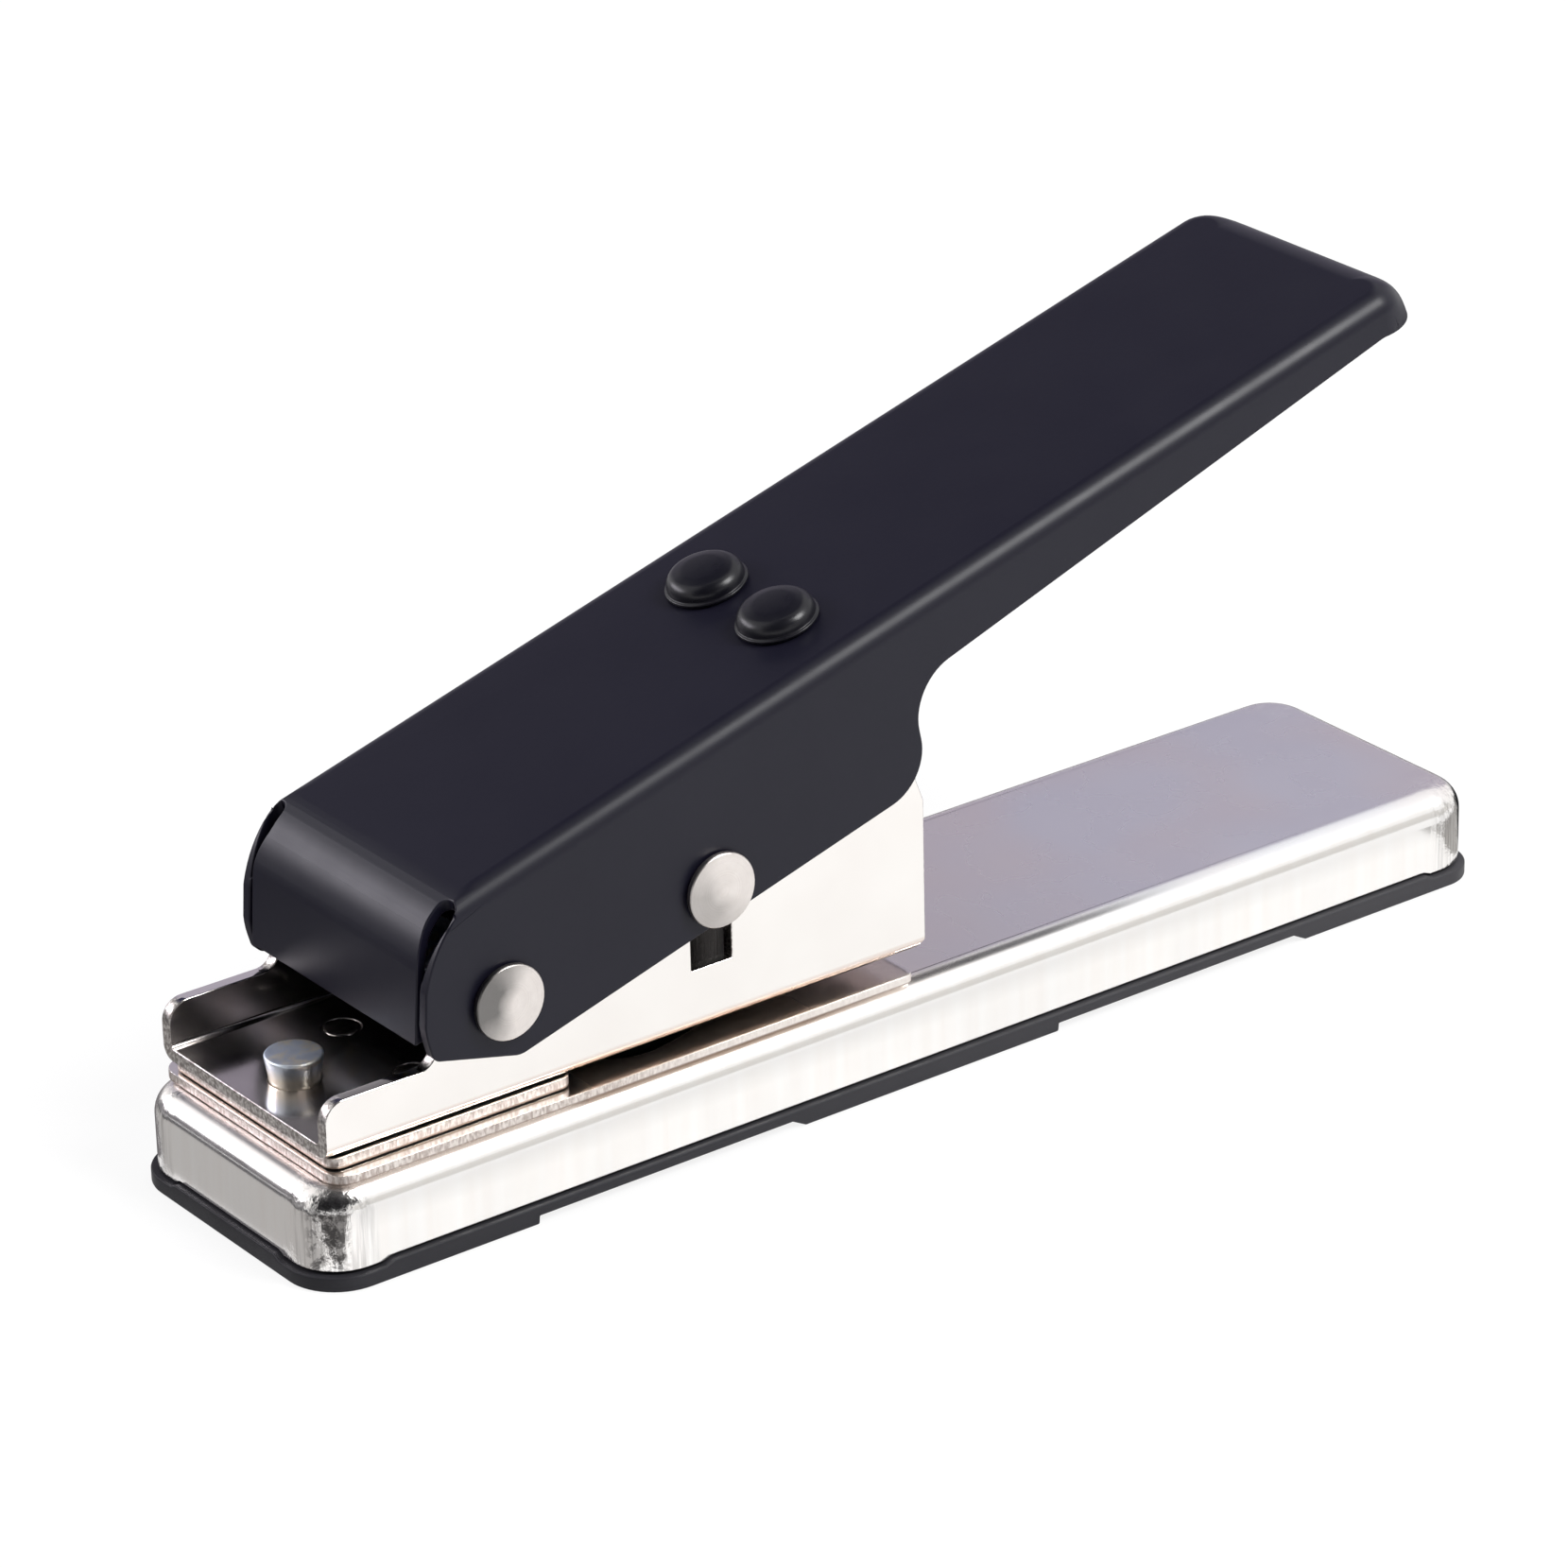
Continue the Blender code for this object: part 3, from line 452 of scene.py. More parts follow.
def pick_face(grow):
    """The pick's outline as one face, each of its six arcs spun on from the one before."""
    arcs = (
        # centre from the punch's middle, sweep in degrees
        ((11.5, 0), 87.83),
        ((-11.913, -22.541), 35.79),
        ((-6.817, 5.5), 86.15),
        ((15.0, 0), 28.30),
        ((-6.817, -5.5), 86.15),
        ((-11.913, 22.541), 35.79),
    )
    (tip_x, tip_y), tip_start, tip_radius = arcs[0][0], radians(-43.91), 3.5 + grow
    shape = bmesh.new()
    last = shape.verts.new((tip_x + tip_radius * cos(tip_start), tip_y + tip_radius * sin(tip_start), 0))
    for centre, sweep in arcs:
        spun = bmesh.ops.spin(
            shape, geom=[last], cent=(*centre, 0), axis=(0, 0, 1), angle=radians(sweep), steps=10,
        )
        last = next(v for v in spun["geom_last"] if isinstance(v, bmesh.types.BMVert))
    bmesh.ops.remove_doubles(shape, verts=shape.verts, dist=0.02)
    bmesh.ops.contextual_create(shape, geom=list(shape.edges))
    bmesh.ops.translate(shape, vec=(punch_x, 0, 0), verts=shape.verts)
    return shape


def rod(radius, x, y, low, high, sides=40):
    """An upright round bar."""
    shape = bmesh.new()
    bmesh.ops.create_cone(
        shape, cap_ends=True, segments=sides, radius1=radius, radius2=radius, depth=high - low,
    )
    bmesh.ops.translate(shape, vec=(x, y, (low + high) / 2), verts=shape.verts)
    return shape


def carve(shape, *cutters, operation="DIFFERENCE"):
    """Cuts shapes out of a shape, or keeps only what lies inside them."""
    blanks = []
    for part in (shape, *cutters):
        bmesh.ops.recalc_face_normals(part, faces=part.faces)
        mesh = bpy.data.meshes.new("blank")
        part.to_mesh(mesh)
        part.free()
        blanks.append(bpy.data.objects.new("blank", mesh))
        scene.collection.objects.link(blanks[-1])
    for cutter in blanks[1:]:
        step = blanks[0].modifiers.new("cut", "BOOLEAN")
        step.object = cutter
        step.operation = operation
        step.solver = "EXACT"
    result = bmesh.new()
    result.from_object(blanks[0], bpy.context.evaluated_depsgraph_get())
    for blank in blanks:
        bpy.data.meshes.remove(blank.data)
    bmesh.ops.remove_doubles(result, verts=result.verts, dist=0.002)
    bmesh.ops.dissolve_limit(result, angle_limit=radians(0.6), verts=result.verts, edges=result.edges)
    return result


post_place = (-68.5, 0)
stack_rivet_places = ((-58.5, 6.5), (-58.5, -6.5))
die_rivet_places = ((-7, 9.5), (-7, -9.5))


def stack_holes(low, high, names=("post", "stack", "die")):
    """Cutters for the holes that the post and the rivets pass through."""
    holes = {
        "post": (2.74, [post_place]),
        "stack": (2.05, stack_rivet_places),
        "die": (1.65, die_rivet_places),
    }
    return [rod(holes[name][0], *place, low, high) for name in names for place in holes[name][1]]


drawn = Finish("drawn nickel", Metallic=1)
along = drawn.at("X")
height = drawn.at("Z")
on_top = drawn.ramp(drawn.facing("Z"), 0.55, 0.98)
corner_zone = drawn.ramp(drawn.off("X"), 0.0700, 0.0722) * drawn.ramp(drawn.off("Y"), 0.0102, 0.0124)
draw_streaks = drawn.noise(0.55, 3, 0.6, (1, 1, 0.045))
faint_streaks = drawn.noise(1.9, 3, 0.55, (1, 1, 0.05))
broad_streaks = drawn.noise(7, 2, 0.5, (1, 1, 0.1))
peel = drawn.noise(1.1, 3, 0.6)
side_tint = drawn.mix(
    drawn.ramp(faint_streaks, 0.35, 0.65), (0.945, 0.915, 0.885), (0.97, 0.955, 0.935),
)
low_streaks = drawn.ramp(broad_streaks, 0.4, 0.7, 0, 0.22) * drawn.ramp(height, 0.0088, 0.0035)
side_tint = drawn.mix(low_streaks, side_tint, (0.80, 0.79, 0.78))
# Painted reflection: a grey band along the sides, just under the rounded top edge.
shoulder_painted_reflection = drawn.ramp(height, 0.0058, 0.0086, 0, 0.6) * drawn.ramp(height, 0.0100, 0.0086)
side_tint = drawn.mix(shoulder_painted_reflection * drawn.facing("Y"), side_tint, (0.70, 0.69, 0.68))
corner_streaks = corner_zone * drawn.ramp(draw_streaks, 0.46, 0.68, 0, 0.7)
side_tint = drawn.mix(corner_streaks, side_tint, (0.45, 0.435, 0.425))
# Painted reflection: near-black patches in the middle of each rounded corner, strongest towards the front.
corner_middle = drawn.ramp(drawn.facing("X") * drawn.facing("Y"), 0.30, 0.46)
corner_painted_reflection = drawn.ramp(drawn.noise(1.3, 4, 0.7), 0.46, 0.56)
painted_reflection_share = drawn.ramp(along, 0.02, -0.02, 0.25, 0.85)
side_tint = drawn.mix(painted_reflection_share * corner_middle * corner_painted_reflection, side_tint, (0.10, 0.095, 0.095))
top_tint = drawn.mix(drawn.ramp(drawn.noise(20, 1), 0.40, 0.66), (0.925, 0.87, 0.862), (0.885, 0.885, 0.918))
top_tint = drawn.mix(drawn.ramp(along, 0.034, -0.008, 0, 0.6), top_tint, (0.86, 0.79, 0.73))
drawn.set(
    Base_Color=drawn.mix(on_top, side_tint, top_tint),
    Roughness=drawn.ramp(drawn.noise(7, 2), 0.3, 0.7, 0.135, 0.175) + 0.12 * on_top,
    Normal=drawn.bump(
        corner_zone * (draw_streaks + 1.4 * peel), 0.06, 0.9,
        drawn.bump((faint_streaks + 0.5 * peel) * (1 - on_top), 0.012, 0.5),
    ),
)
shell_end, shell_half, shell_foot, shell_top = 77.3, 17.4, 1.9, 10.9
shell = block((-shell_end, -shell_half, shell_foot), (shell_end, shell_half, shell_top))
round_edges(shell, upright(), 5.5, 14)
round_edges(shell, lambda a, b: min(a.z, b.z) > shell_top - 0.1, 3.1, 11)
shell_floor = min(shell.faces, key=lambda f: f.calc_center_median().z)
bmesh.ops.delete(shell, geom=[shell_floor], context="FACES_ONLY")
hem_lift = 0.38
split_corners(shell, (70.1, 69.1), (10.2, 9.2))
for vert in shell.verts:
    if vert.co.z < shell_foot + 0.05:
        clear_along = abs(vert.co.x) < 69.2 and abs(vert.co.y) > shell_half - 0.1
        clear_across = abs(vert.co.y) < 9.3 and abs(vert.co.x) > shell_end - 0.1
        if clear_along or clear_across:
            vert.co.z += hem_lift
bmesh.ops.recalc_face_normals(shell, faces=shell.faces)
bmesh.ops.solidify(shell, geom=list(shell.faces), thickness=0.9)
shell = carve(shell, thicken(pick_face(1.3), (0, 0, 8), (0, 0, 13)), *stack_holes(8, 13))
break_edges(shell, 0.12)
finish_piece("drawn_shell", shell, drawn, "base", "nickel_plate", "base_shell")

# Die plate and spacer: blanked from flat steel and plated, with the grain of the shear on their edges.
# The spacer keeps the throat open that the card slides into, and the pick is cut against the die plate.
sheared = Finish("sheared plate", Metallic=1)
on_edge = sheared.ramp(sheared.facing("Z"), 0.75, 0.35)
shear_grain = sheared.noise(0.32, 4, 0.7, (1, 1, 0.35))
shear_streak = sheared.noise(0.5, 3, 0.6, (1, 1, 0.12))
plate_height = sheared.at("Z")
# Dark brown along the lowest part of each plate's edge, where it meets the plate below.
die_low_edge_band = sheared.ramp(plate_height, 0.01125, 0.01108)
spacer_low_edge_band = sheared.ramp(plate_height, 0.01250, 0.01236) * sheared.ramp(plate_height, 0.01205, 0.01215)
plate_along = sheared.at("X")
shear_depth = sheared.ramp(plate_along, -0.028, -0.048, 0.25, 1)
edge_colour = sheared.mix(
    sheared.ramp(shear_grain, 0.40, 0.60), (0.50, 0.42, 0.38), (0.86, 0.80, 0.76),
)
edge_colour = sheared.mix(shear_depth, (0.90, 0.85, 0.81), edge_colour)
edge_colour = sheared.mix(die_low_edge_band + spacer_low_edge_band, edge_colour, (0.30, 0.22, 0.17))
clean_face = sheared.mix(sheared.noise(6, 3), (0.84, 0.80, 0.77), (0.91, 0.87, 0.84))
# Painted reflection and shade: the plates' faces in the throat under the channel are painted a mottled
# brown.
throat_painted_reflection = sheared.mix(sheared.noise(3, 3), (0.50, 0.40, 0.33), (0.74, 0.66, 0.60))
in_throat = sheared.ramp(plate_along, -0.0455, -0.043) * sheared.ramp(plate_along, -0.004, -0.016)
face_colour = sheared.mix(in_throat, clean_face, throat_painted_reflection)
sheared.set(
    Base_Color=sheared.mix(on_edge, face_colour, edge_colour),
    Roughness=0.16 + 0.24 * on_edge + 0.12 * in_throat,
    Normal=sheared.bump(
        on_edge * shear_depth * (shear_grain + 0.7 * shear_streak), 0.09, 1,
        sheared.bump(sheared.noise(0.9, 3), 0.004, 0.5),
    ),
)


def plate(front, rear, half, front_radius, rear_radius, low, high):
    """A flat plate on the middle plane, between two heights."""
    outline = [
        (front, -half, front_radius),
        (rear, -half, rear_radius),
        (rear, half, rear_radius),
        (front, half, front_radius),
    ]
    return thicken(rounded_face(outline), (0, 0, low), (0, 0, high))


punch_gap = 0.3
die = plate(-74.6, -1.8, 16.4, 2.5, 1.2, 11.0, 12.04)
die = carve(die, thicken(pick_face(punch_gap), (0, 0, 10), (0, 0, 14)), *stack_holes(10, 14))
break_edges(die, 0.1)
finish_piece("die_sheet", die, sheared, "base", "plate_steel", "die_plate")
spacer = plate(-74.0, -44.5, 14.8, 1.5, 1.5, 12.19, 13.36)
spacer = carve(spacer, *stack_holes(10, 15, ("post", "stack")))
break_edges(spacer, 0.1)
finish_piece("spacer_sheet", spacer, sheared, "base", "plate_steel", "spacer_plate")

# Frame channel: cut from thick strip, folded to a U and bright nickel plated.
# Its floor guides the punch, its ears hold the pivot, and its high walls have the driver pin's slots.
bright = Finish("bright nickel", Metallic=1)
rolled_scratches = bright.noise(0.5, 4, 0.7, (0.05, 0.05, 1), (0, radians(8), 0))
frame_height = bright.at("Z")
# Painted shade: the inside of the channel, its inner walls and floor, is painted darker.
inside = bright.ramp(bright.off("Y"), 0.01382, 0.01372) * bright.ramp(frame_height, 0.0147, 0.0149)
cut_end = bright.ramp(bright.facing("X"), 0.15, 0.5)
cut_grain = bright.noise(0.4, 4, 0.7)
cut_colour = bright.mix(bright.ramp(cut_grain, 0.42, 0.62), (0.28, 0.25, 0.235), (0.78, 0.75, 0.72))
# Painted reflection: a brown band along the outside of the fold at the channel's foot.
fold_painted_reflection = bright.ramp(frame_height, 0.0152, 0.0142) * (1 - bright.facing("Z"))
frame_colour = bright.mix(bright.noise(11, 3), (0.87, 0.83, 0.795), (0.965, 0.94, 0.91))
frame_colour = bright.mix(inside, frame_colour, (0.56, 0.525, 0.51))
frame_colour = bright.mix(0.85 * fold_painted_reflection, frame_colour, (0.50, 0.27, 0.15))
shine = bright.ramp(bright.noise(4, 4), 0.3, 0.7, 0.06, 0.12)
bright.set(
    Base_Color=bright.mix(cut_end, frame_colour, cut_colour),
    Roughness=shine + 0.2 * cut_end + 0.07 * inside,
    Normal=bright.bump(
        rolled_scratches + cut_end * cut_grain * 8, 0.006, 0.35,
        bright.bump(bright.noise(3.4, 2), 0.007, 0.4),
    ),
)
wall_out, wall_in = 15.15, 13.65
floor_low, floor_high, blank_top = 13.5, 15.0, 40
channel = thicken(
    rounded_face([
        (-wall_out, blank_top, 0), (-wall_out, floor_low, 1.6),
        (wall_out, floor_low, 1.6), (wall_out, blank_top, 0),
        (wall_in, blank_top, 0), (wall_in, floor_high, 0.5),
        (-wall_in, floor_high, 0.5), (-wall_in, blank_top, 0),
    ], "YZ", 8),
    (-77, 0, 0), (3, 0, 0),
)
wall_outline = rounded_face([
    (-74.7, 11.5, 0), (-0.6, 11.5, 0), (-0.6, 13.6, 0), (0.6, 14.7, 0), (0.6, 30.9, 0), (-1.4, 36.2, 0),
    (-43.7, 36.2, 4.0), (-51.7, 33.1, 0), (-61.2, 33.1, 7.5), (-61.2, 19.9, 2.0), (-74.7, 19.9, 2.4),
], "XZ", 12)
channel = carve(channel, thicken(wall_outline, (0, -18, 0), (0, 18, 0)), operation="INTERSECT")


def lay_across(shape, x, z):
    """Turns an upright shape to lie across the tool, through a point of its side view."""
    bmesh.ops.rotate(shape, cent=(0, 0, 0), matrix=Matrix.Rotation(pi / 2, 3, "X"), verts=shape.verts)
    bmesh.ops.translate(shape, vec=(x, 0, z), verts=shape.verts)
    return shape


def across_rod(radius, x, z, half):
    """A round bar across the tool, through a point of its side view."""
    return lay_across(rod(radius, 0, 0, -half, half), x, z)


pivot = (-53.7, 25.6)
channel = carve(
    channel,
    block((-29.7, -18, 20.52), (-24.55, 18, 32.3)),
    across_rod(2.7, *pivot, 18),
    thicken(pick_face(punch_gap), (0, 0, 12), (0, 0, 17)),
    *stack_holes(12, 17, ("post", "stack")),
)
break_edges(channel, 0.15)
finish_piece("folded_channel", channel, bright, "base", "nickel_plate", "frame_channel")


# Front post and flush rivets: they clamp the channel, the spacer and the die plate to the shell.
# The post is zinc plated and stands up as the stop for the card, and the rivets are nickel plated.
def turned(profile, steps=48):
    """A body of revolution about Z from radius and height points that start and end on the axis."""
    shape = bmesh.new()
    verts = [shape.verts.new((radius, 0, height)) for radius, height in profile]
    edges = [shape.edges.new(pair) for pair in zip(verts, verts[1:])]
    bmesh.ops.spin(
        shape, geom=verts + edges, cent=(0, 0, 0), axis=(0, 0, 1), angle=2 * pi, steps=steps, use_merge=True,
    )
    bmesh.ops.remove_doubles(shape, verts=shape.verts, dist=0.0005)
    bmesh.ops.recalc_face_normals(shape, faces=shape.faces)
    return shape


def rounded_line(points, segments=5):
    """A line of points in which each inner one with a radius is rounded off."""
    line = []
    for i, point in enumerate(points):
        if len(point) == 2:
            line.append(Vector(point))
            continue
        here = Vector(point[:2])
        back = (Vector(points[i - 1][:2]) - here).normalized()
        onward = (Vector(points[i + 1][:2]) - here).normalized()
        half = back.angle(onward) / 2
        reach = point[2] / tan(half)
        centre = here + (back + onward).normalized() * (point[2] / sin(half))
        start, end = here + back * reach - centre, here + onward * reach - centre
        for step in range(segments + 1):
            way = start.lerp(end, step / segments).normalized() * point[2]
            line.append(centre + way)
    return [tuple(p) for p in line]


def moved(shape, *vector):
    bmesh.ops.translate(shape, vec=vector, verts=shape.verts)
    return shape


zinc = Finish("zinc plate", Metallic=1)
zinc_tint = zinc.node(
    "ShaderNodeValToRGB",
    {"stops": (
        (0.3, (0.68, 0.76, 0.88)), (0.5, (0.80, 0.86, 0.95)),
        (0.66, (0.92, 0.88, 0.78)), (0.8, (0.78, 0.84, 0.93)),
    )},
    {0: zinc.noise(2.4, 3)},
)
zinc_height = zinc.at("Z")
post_top_face = zinc.ramp(zinc_height, 0.0176, 0.0179)
# Painted reflection: the post is painted a warm cream below the rounding of its top.
zinc.set(
    Base_Color=zinc.mix(zinc.ramp(zinc_height, 0.0172, 0.0158), zinc_tint, (0.93, 0.87, 0.76)),
    Roughness=zinc.ramp(zinc.noise(1.2, 4), 0.3, 0.7, 0.28, 0.38) + 0.12 * post_top_face,
    Normal=zinc.bump(zinc.noise(0.45, 4, 0.65), 0.03, 0.8),
)
rivet_low, rivet_seat = 8.8, 9.7
post = turned(rounded_line([
    (0, rivet_low), (3.7, rivet_low, 0.2), (3.7, rivet_seat), (2.68, rivet_seat), (2.68, 15.2, 4.0),
    (3.0, 17.1, 3.0), (3.12, 17.92, 0.25), (2.5, 17.95), (0, 17.92),
]))
finish_piece("stop_post", moved(post, *post_place, 0), zinc, "base", "zinc_plate", "front_post")

# Painted shade: the rivets' nickel is painted darker than the other plating, like the channel's inside where
# they sit.
shaded_rivet_nickel = Finish("rivet nickel", Metallic=1)
shaded_rivet_nickel.set(
    Base_Color=shaded_rivet_nickel.mix(shaded_rivet_nickel.noise(1.5, 3), (0.40, 0.37, 0.34), (0.52, 0.48, 0.45)),
    Roughness=shaded_rivet_nickel.ramp(shaded_rivet_nickel.noise(0.8, 4), 0.3, 0.7, 0.14, 0.26),
    Normal=shaded_rivet_nickel.bump(shaded_rivet_nickel.noise(0.6, 3), 0.012, 0.7),
)


def flush_rivet(name, place, radius, top, slot, node):
    """A rivet whose upper end is hammered level with the sheet, a hair dished inside its rounded rim."""
    shape = turned(rounded_line([
        (0, rivet_low), (radius + 1, rivet_low, 0.2), (radius + 1, rivet_seat), (radius, rivet_seat),
        (radius, top, 0.22), (radius * 0.8, top + 0.02), (0, top - 0.04),
    ]))
    finish_piece(name, moved(shape, *place, 0), shaded_rivet_nickel, "base", slot, node)


for side, place in zip(("left", "right"), stack_rivet_places):
    flush_rivet(f"channel_rivet_{side}", place, 2.0, 15.0, "turned_nickel", f"stack_rivet_{side}")
for side, place in zip(("left", "right"), die_rivet_places):
    flush_rivet(f"plate_rivet_{side}", place, 1.6, 12.0, "plate_steel", f"die_rivet_{side}")


# Pivot pin, its sleeve, and the driver pin: turned from bar and plated, with wide heads riveted over.
# The pivot pin holds the lever to the ears, and the driver pin on the lever pushes the punch.
def pin_shape(shank, dimple=0.0):
    """An upright pin with a crowned head at each end, which may have a dimple in its middle."""
    seat, edge, crown, head = 17.05, 17.72, 17.85, 4.1
    half = rounded_line([
        (shank, seat), (head - 0.05, seat), (head, seat + 0.07), (head, edge, 0.2),
        (2.8, 17.83), (1.4, crown),
    ], 4)
    half += [(0.75, crown), (0.5, crown - dimple), (0, crown - dimple)] if dimple else [(0, crown + 0.01)]
    return turned([(radius, -height) for radius, height in reversed(half)] + half)


def head_finish(name, centre, shade_angle, shade_share):
    """Plated steel with the fine rings that turning leaves round a centre of the side view.

    One side of that centre, at an angle up from the front, is painted darker, a painted reflection of the
    turned rings.
    """
    finish = Finish(name, Metallic=1)
    to_centre = {"Location": (-centre[0] / 1000, 0, -centre[1] / 1000), "Scale": (1, 0.02, 1)}
    spot = finish.node("ShaderNodeMapping", None, {"Vector": finish.place, **to_centre})
    reach = finish.node("ShaderNodeVectorMath", {"operation": "LENGTH"}, {0: spot}, "Value")
    rings = finish.node(
        "ShaderNodeTexNoise", {"noise_dimensions": "1D"}, {"W": reach * 1000, "Scale": 7.0, "Detail": 4},
    )
    way = finish.node("ShaderNodeVectorMath", {"operation": "NORMALIZE"}, {0: spot})
    dark_way = (-cos(shade_angle), 0, sin(shade_angle))
    shade = finish.node("ShaderNodeVectorMath", {"operation": "DOT_PRODUCT"}, {0: way, 1: dark_way}, "Value")
    shade = finish.ramp(shade + 0.5 * finish.noise(2.2, 3), -0.2, 1.05, 0, shade_share)
    shade = shade * finish.ramp(reach, 0.0, 0.0018)
    mottle = finish.noise(1.4, 4, 0.6) * 0.6 + 0.4 * rings
    head_colour = finish.mix(mottle, (0.66, 0.605, 0.575), (0.90, 0.855, 0.82))
    finish.set(
        Base_Color=finish.mix(shade, head_colour, (0.17, 0.165, 0.16)),
        Roughness=finish.ramp(finish.noise(0.9, 4), 0.3, 0.7, 0.30, 0.42),
        Normal=finish.bump(rings, 0.035, 0.7, finish.bump(finish.noise(0.35, 3), 0.006, 0.6)),
    )
    return finish


pivot_head = head_finish("turned pivot nickel", pivot, radians(20), 0.95)
pin = lay_across(pin_shape(2.4), *pivot)
finish_piece("pivot_rivet", pin, pivot_head, "base", "turned_nickel", "pivot_pin")
sleeve_end, sleeve_out, sleeve_bore = 13.35, 4.0, 2.7
sleeve = lay_across(turned([
    (sleeve_out, -sleeve_end), (sleeve_out, sleeve_end), (sleeve_bore, sleeve_end),
    (sleeve_bore, -sleeve_end), (sleeve_out, -sleeve_end),
]), *pivot)
break_edges(sleeve, 0.2)
finish_piece("spacer_sleeve", sleeve, zinc, "base", "zinc_plate", "pivot_sleeve")
driver = (-27.3, 29.9)
driver_head = head_finish("turned driver nickel", driver, radians(-35), 0.5)
pin = lay_across(pin_shape(2.0, dimple=0.1), *driver)
finish_piece("driver_rivet", pin, driver_head, "lever", "turned_nickel", "driver_pin")

# Punch: a pick-shaped block of hardened and blackened tool steel that slides in the channel's floor.
# The driver pin passes through its cross hole, and its lower edge does the cutting.
punch_steel = Finish("blackened tool steel", Metallic=1)
grind = punch_steel.noise(0.25, 3, 0.6, (1, 1, 0.06))
punch_steel.set(
    Base_Color=punch_steel.mix(punch_steel.noise(5, 3), (0.018, 0.017, 0.017), (0.04, 0.038, 0.037)),
    Roughness=punch_steel.ramp(grind, 0.3, 0.7, 0.22, 0.36),
    Normal=punch_steel.bump(grind, 0.012, 0.6),
)
punch_low, punch_high = 13.8, 33.6
punch = thicken(pick_face(0), (0, 0, punch_low), (0, 0, punch_high))
punch = carve(punch, across_rod(2.47, punch_x, driver[1], 15))
break_edges(punch, 0.14)
finish_piece("pick_punch", punch, punch_steel, "punch_block", "tool_steel", "punch")

# Lever handle: pressed from steel sheet to a channel that is open below, then painted satin black and baked.
# Its nose is a flap bent down between the walls. A slit with a round end frees the flap from each wall.
lever_slope = radians(15.863)
lever_place = (
    Matrix.Translation((pivot[0], 0, pivot[1])) @ Matrix.Rotation(-lever_slope, 4, "Y")
)
black_paint = Finish("baked black paint", IOR=1.46, Specular_IOR_Level=0.32)
paint_cloud = black_paint.mix(black_paint.noise(16, 3), (0.0050, 0.0046, 0.0115), (0.0074, 0.007, 0.015))
paint_dust = black_paint.ramp(black_paint.noise(0.5, 2, 0.5), 0.80, 0.86)
black_paint.set(
    Base_Color=black_paint.mix(paint_dust, paint_cloud, (0.05, 0.05, 0.055)),
    Roughness=black_paint.ramp(black_paint.noise(6, 4), 0.3, 0.7, 0.36, 0.42),
    Normal=black_paint.bump(black_paint.noise(0.8, 2, 0.5), 0.008, 0.5),
)


def drawn_in(radius, depth):
    """How far a rounded edge has drawn in at a depth below its top."""
    return radius - sqrt(radius**2 - min(max(radius - depth, 0), radius) ** 2)


def lever_blank(outline, half, top, rear, corner, edge, bend, lean_depth):
    """A side view drawn out across the tool, within a plan whose long edges and tip are rounded.

    The tip is a wider bend than the long edges, and below it the sheet leans out a little.
    """
    side = thicken(rounded_face(outline, "XZ", 14), (0, -19, 0), (0, 19, 0))
    bound = block((-18, -half, -11), (rear, half, top))
    round_edges(bound, upright(0), corner, 12)
    depths = [bend * (1 - cos(radians(7.5 * step))) for step in range(1, 13)] + [lean_depth]
    split(bound, *[((0, 0, top - depth), (0, 0, 1)) for depth in depths])
    for vert in bound.verts:
        depth = top - vert.co.z
        from_side = drawn_in(edge, depth)
        from_tip = drawn_in(bend, depth) + max(lean_depth - depth, 0) * tan(radians(9))
        out = Vector((max(vert.co.x - rear + corner, 0), max(abs(vert.co.y) - half + corner, 0)))
        if out.x < 0.01:
            out = Vector((0, 1))
        out.normalize()
        inset = from_tip * out.x**2 + from_side * out.y**2
        vert.co.x -= inset * out.x
        vert.co.y -= inset * out.y * (1 if vert.co.y > 0 else -1)
    return carve(side, bound, operation="INTERSECT")


lever = lever_blank(
    [
        (-5.451, 13.1, 8.5), (-10.6, -1.053, 0), (-0.3, -6.95, 2.5), (54.2, -6.95, 5.5),
        (55.0, 4.55, 6.0), (123.1, 8.4, 3.0), (131.8, 7.0, 0), (131.8, 13.1, 0),
    ],
    half=16.75, top=13.1, rear=129.8, corner=6.0, edge=2.3, bend=4.4, lean_depth=6.1,
)
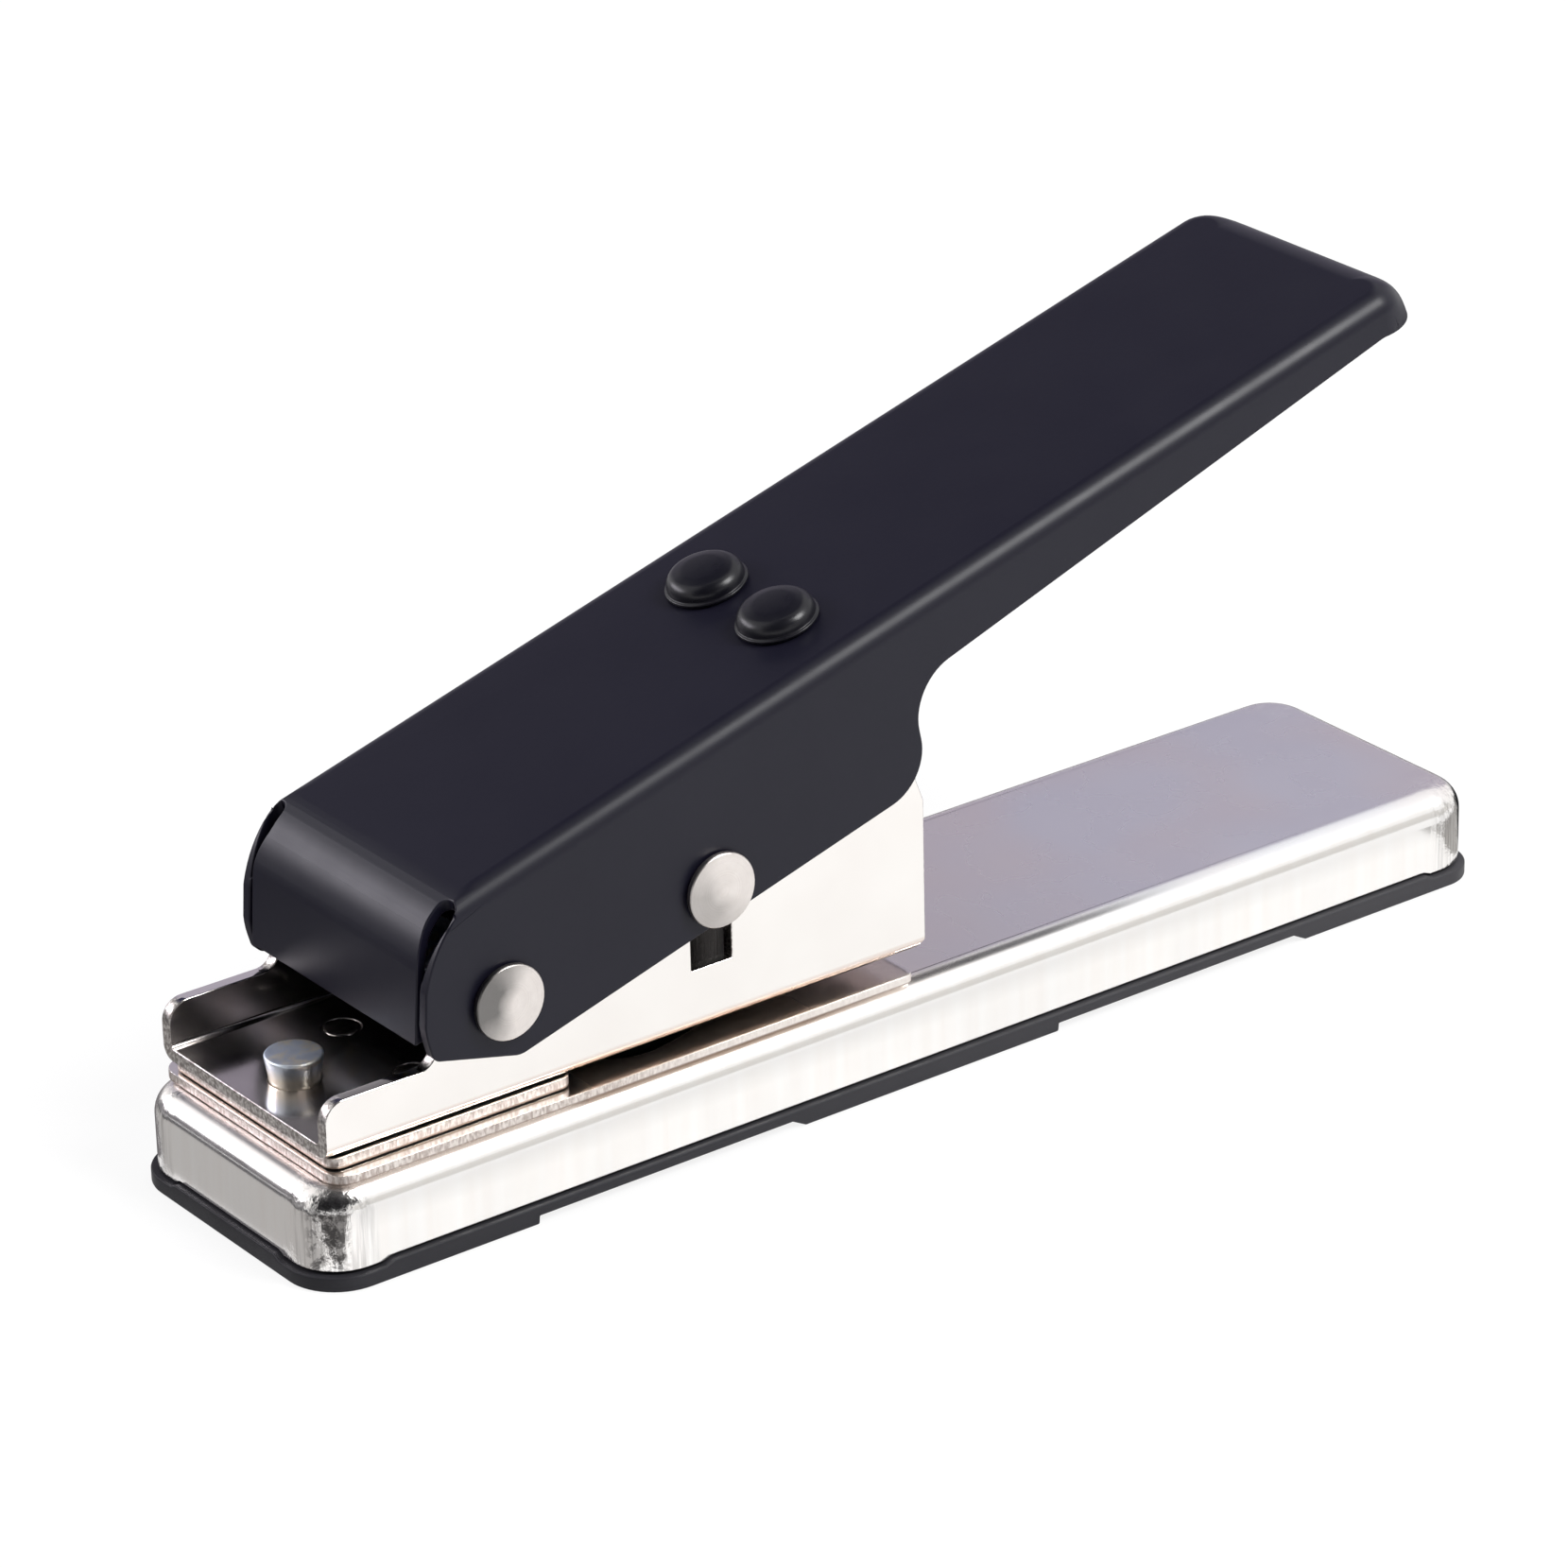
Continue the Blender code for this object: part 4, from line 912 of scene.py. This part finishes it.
# The hollow under the sheet, which is 1.3 mm thick.
hollow = lever_blank(
    [(-4.541, 11.8, 7.2), (-12.112, -9, 0), (131.8, -9, 0), (131.8, 11.8, 0)],
    half=15.45, top=11.8, rear=128.5, corner=4.7, edge=1.0, bend=3.1, lean_depth=4.8,
)
slit_in, slit_out, relief_in = 15.0, 15.45, 14.1
lever_cuts = [hollow, block((-16.6, -15.2, -8.95), (-3.1, 15.2, 0))]
for sign in (-1, 1):
    slit = sorted((sign * slit_in, sign * slit_out))
    lever_cuts.append(block((-16.6, slit[0], -9), (-3.1, slit[1], 9.5)))
    wall_edge = rounded_face([
        (-16.6, 15.1, 0), (-16.6, -12, 0), (-8.9, -12, 0), (-8.9, -2.027, 0), (-9.6, -1.626, 1.25),
        (-9.6, 8.223, 12.9), (-2.3, 11.784, 0), (-2.3, 15.1, 0),
    ], "XZ", 16)
    lever_cuts.append(thicken(wall_edge, (0, sign * 15.23, 0), (0, sign * 19, 0)))
    round_end = [
        (-8.2, sign * slit_in, 0), (-7.3, sign * slit_in, 3.4), (-4.4, sign * relief_in, 3.4),
    ]
    relief = rounded_face([
        (-1.5, sign * relief_in, 1.1), (-1.5, sign * 16.4, 1.1), (-3.15, sign * 16.4, 0),
        (-8.2, sign * slit_out, 0), *round_end,
    ], "XY", 8)
    lever_cuts.append(thicken(relief, (0, 0, 6.6), (0, 0, 15.1)))
    relief_foot = rounded_face([
        (-1.5, sign * relief_in, 1.1), (-1.5, sign * 15.3, 0), (-8.2, sign * 15.3, 0), *round_end,
    ], "XY", 8)
    lever_cuts.append(thicken(relief_foot, (0, 0, 3.2), (0, 0, 7)))
dome_places = ((48.1, 6.1), (48.1, -6.1))
dome_hole = 2.05
driver_local = lever_place.inverted() @ Vector((driver[0], 0, driver[1]))
lever_cuts += [rod(dome_hole, *place, 9, 15) for place in dome_places]
lever_cuts += [across_rod(2.7, 0, 0, 19), across_rod(2.3, driver_local.x, driver_local.z, 19)]
lever = carve(lever, *lever_cuts)
split(lever, *[((x, 0, 0), (1, 0, 0)) for x in (1.5, 60, 115)])
break_edges(lever, 0.2, 40, 3)
finish_piece("lever_pressing", lever, black_paint, "lever", "black_paint", "lever_handle", place=lever_place)

# Domed rivets: two steel rivets through the top of the lever, painted with it.
# They hold the return spring's upper end, and their tails are clenched below it.
dome_paint = Finish("painted rivet", IOR=1.46, Specular_IOR_Level=0.4)
dome_paint.set(
    Base_Color=dome_paint.mix(dome_paint.noise(3, 3), (0.0035, 0.0034, 0.0065), (0.006, 0.0058, 0.0095)),
    Roughness=dome_paint.ramp(dome_paint.noise(2, 3), 0.3, 0.7, 0.27, 0.34),
    Normal=dome_paint.bump(dome_paint.noise(0.7, 2), 0.008, 0.5),
)
for side, place in zip(("left", "right"), dome_places):
    dome = turned(rounded_line([
        (0, 9.55), (2.6, 9.55, 0.25), (2.6, 10.4), (1.75, 10.4), (1.75, 13.3), (4.42, 13.3), (4.5, 13.38),
        (4.5, 13.62, 0.12), (4.22, 13.74, 0.12), (4.12, 15.1, 1.4), (2.3, 15.5, 3.5), (0, 15.62),
    ], 7))
    finish_piece(
        f"domed_rivet_{side}", moved(dome, *place, 0), dome_paint,
        "lever", "black_paint", f"handle_rivet_{side}", place=lever_place,
    )

# Return spring: a leaf of tempered strip, bent round to a C under the lever.
# Two rivets hold its upper end, and its foot rests on the channel's floor behind the punch.
spring_steel = Finish("tempered strip", Metallic=1)
roll_lines = spring_steel.noise(0.3, 3, 0.6, (1, 1, 0.1))
spring_steel.set(
    Base_Color=spring_steel.mix(spring_steel.noise(7, 3), (0.30, 0.29, 0.30), (0.44, 0.42, 0.40)),
    Roughness=spring_steel.ramp(roll_lines, 0.3, 0.7, 0.26, 0.42),
    Normal=spring_steel.bump(roll_lines, 0.01, 0.6),
)
spring = bmesh.new()
spring_end = [spring.verts.new((-15.468, y, 48.004)) for y in (-9, -4.5, 0, 4.5, 9)]
spring_edges = [spring.edges.new(pair) for pair in zip(spring_end, spring_end[1:])]


def straight_on(edges, vector, steps):
    """Draws the leaf's end edges on along a vector. Returns the new end edges."""
    for _ in range(steps):
        grown = bmesh.ops.extrude_edge_only(spring, edges=edges)["geom"]
        edges = [e for e in grown if isinstance(e, bmesh.types.BMEdge)]
        edges = [e for e in edges if len(e.link_faces) == 1 and all(v in grown for v in e.verts)]
        ends = list(dict.fromkeys(v for e in edges for v in e.verts))
        bmesh.ops.translate(spring, vec=Vector(vector) / steps, verts=ends)
    return edges


def bend_on(edges, centre, turn, steps):
    """Draws the leaf's end edges on round a centre. Returns the new end edges."""
    verts = list(dict.fromkeys(v for e in edges for v in e.verts))
    spun = bmesh.ops.spin(
        spring, geom=verts + edges, cent=centre, axis=(0, 1, 0), angle=turn, steps=steps,
    )
    return [e for e in spun["geom_last"] if isinstance(e, bmesh.types.BMEdge)]


bend_x = -3.69
spring_edges = straight_on(spring_edges, (9.043, 0, 2.569), 3)
spring_edges = bend_on(spring_edges, (bend_x, 0, 40.954), pi / 2 + lever_slope, 14)
spring_edges = straight_on(spring_edges, (0, 0, -15.254), 4)
spring_edges = bend_on(spring_edges, (bend_x, 0, 25.7), pi / 2, 12)
straight_on(spring_edges, (-5, 0, 0), 2)
leaf_share = 13 / 18
for vert in spring.verts:
    past_plate = min(max((vert.co.x + 7.5) / 4, 0), 1) if vert.co.z > 44 else 1
    vert.co.y *= 1 - past_plate * (1 - leaf_share)
bmesh.ops.recalc_face_normals(spring, faces=spring.faces)
bmesh.ops.solidify(spring, geom=list(spring.faces), thickness=0.8)
spring_holes = [rod(dome_hole, *place, 8, 15) for place in dome_places]
for hole in spring_holes:
    bmesh.ops.transform(hole, matrix=lever_place, verts=hole.verts)
spring = carve(spring, *spring_holes)
break_edges(spring, 0.1)
finish_piece("spring_leaf", spring, spring_steel, None, "spring_steel", "return_spring")
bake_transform(bpy.data.objects["spring_leaf"])
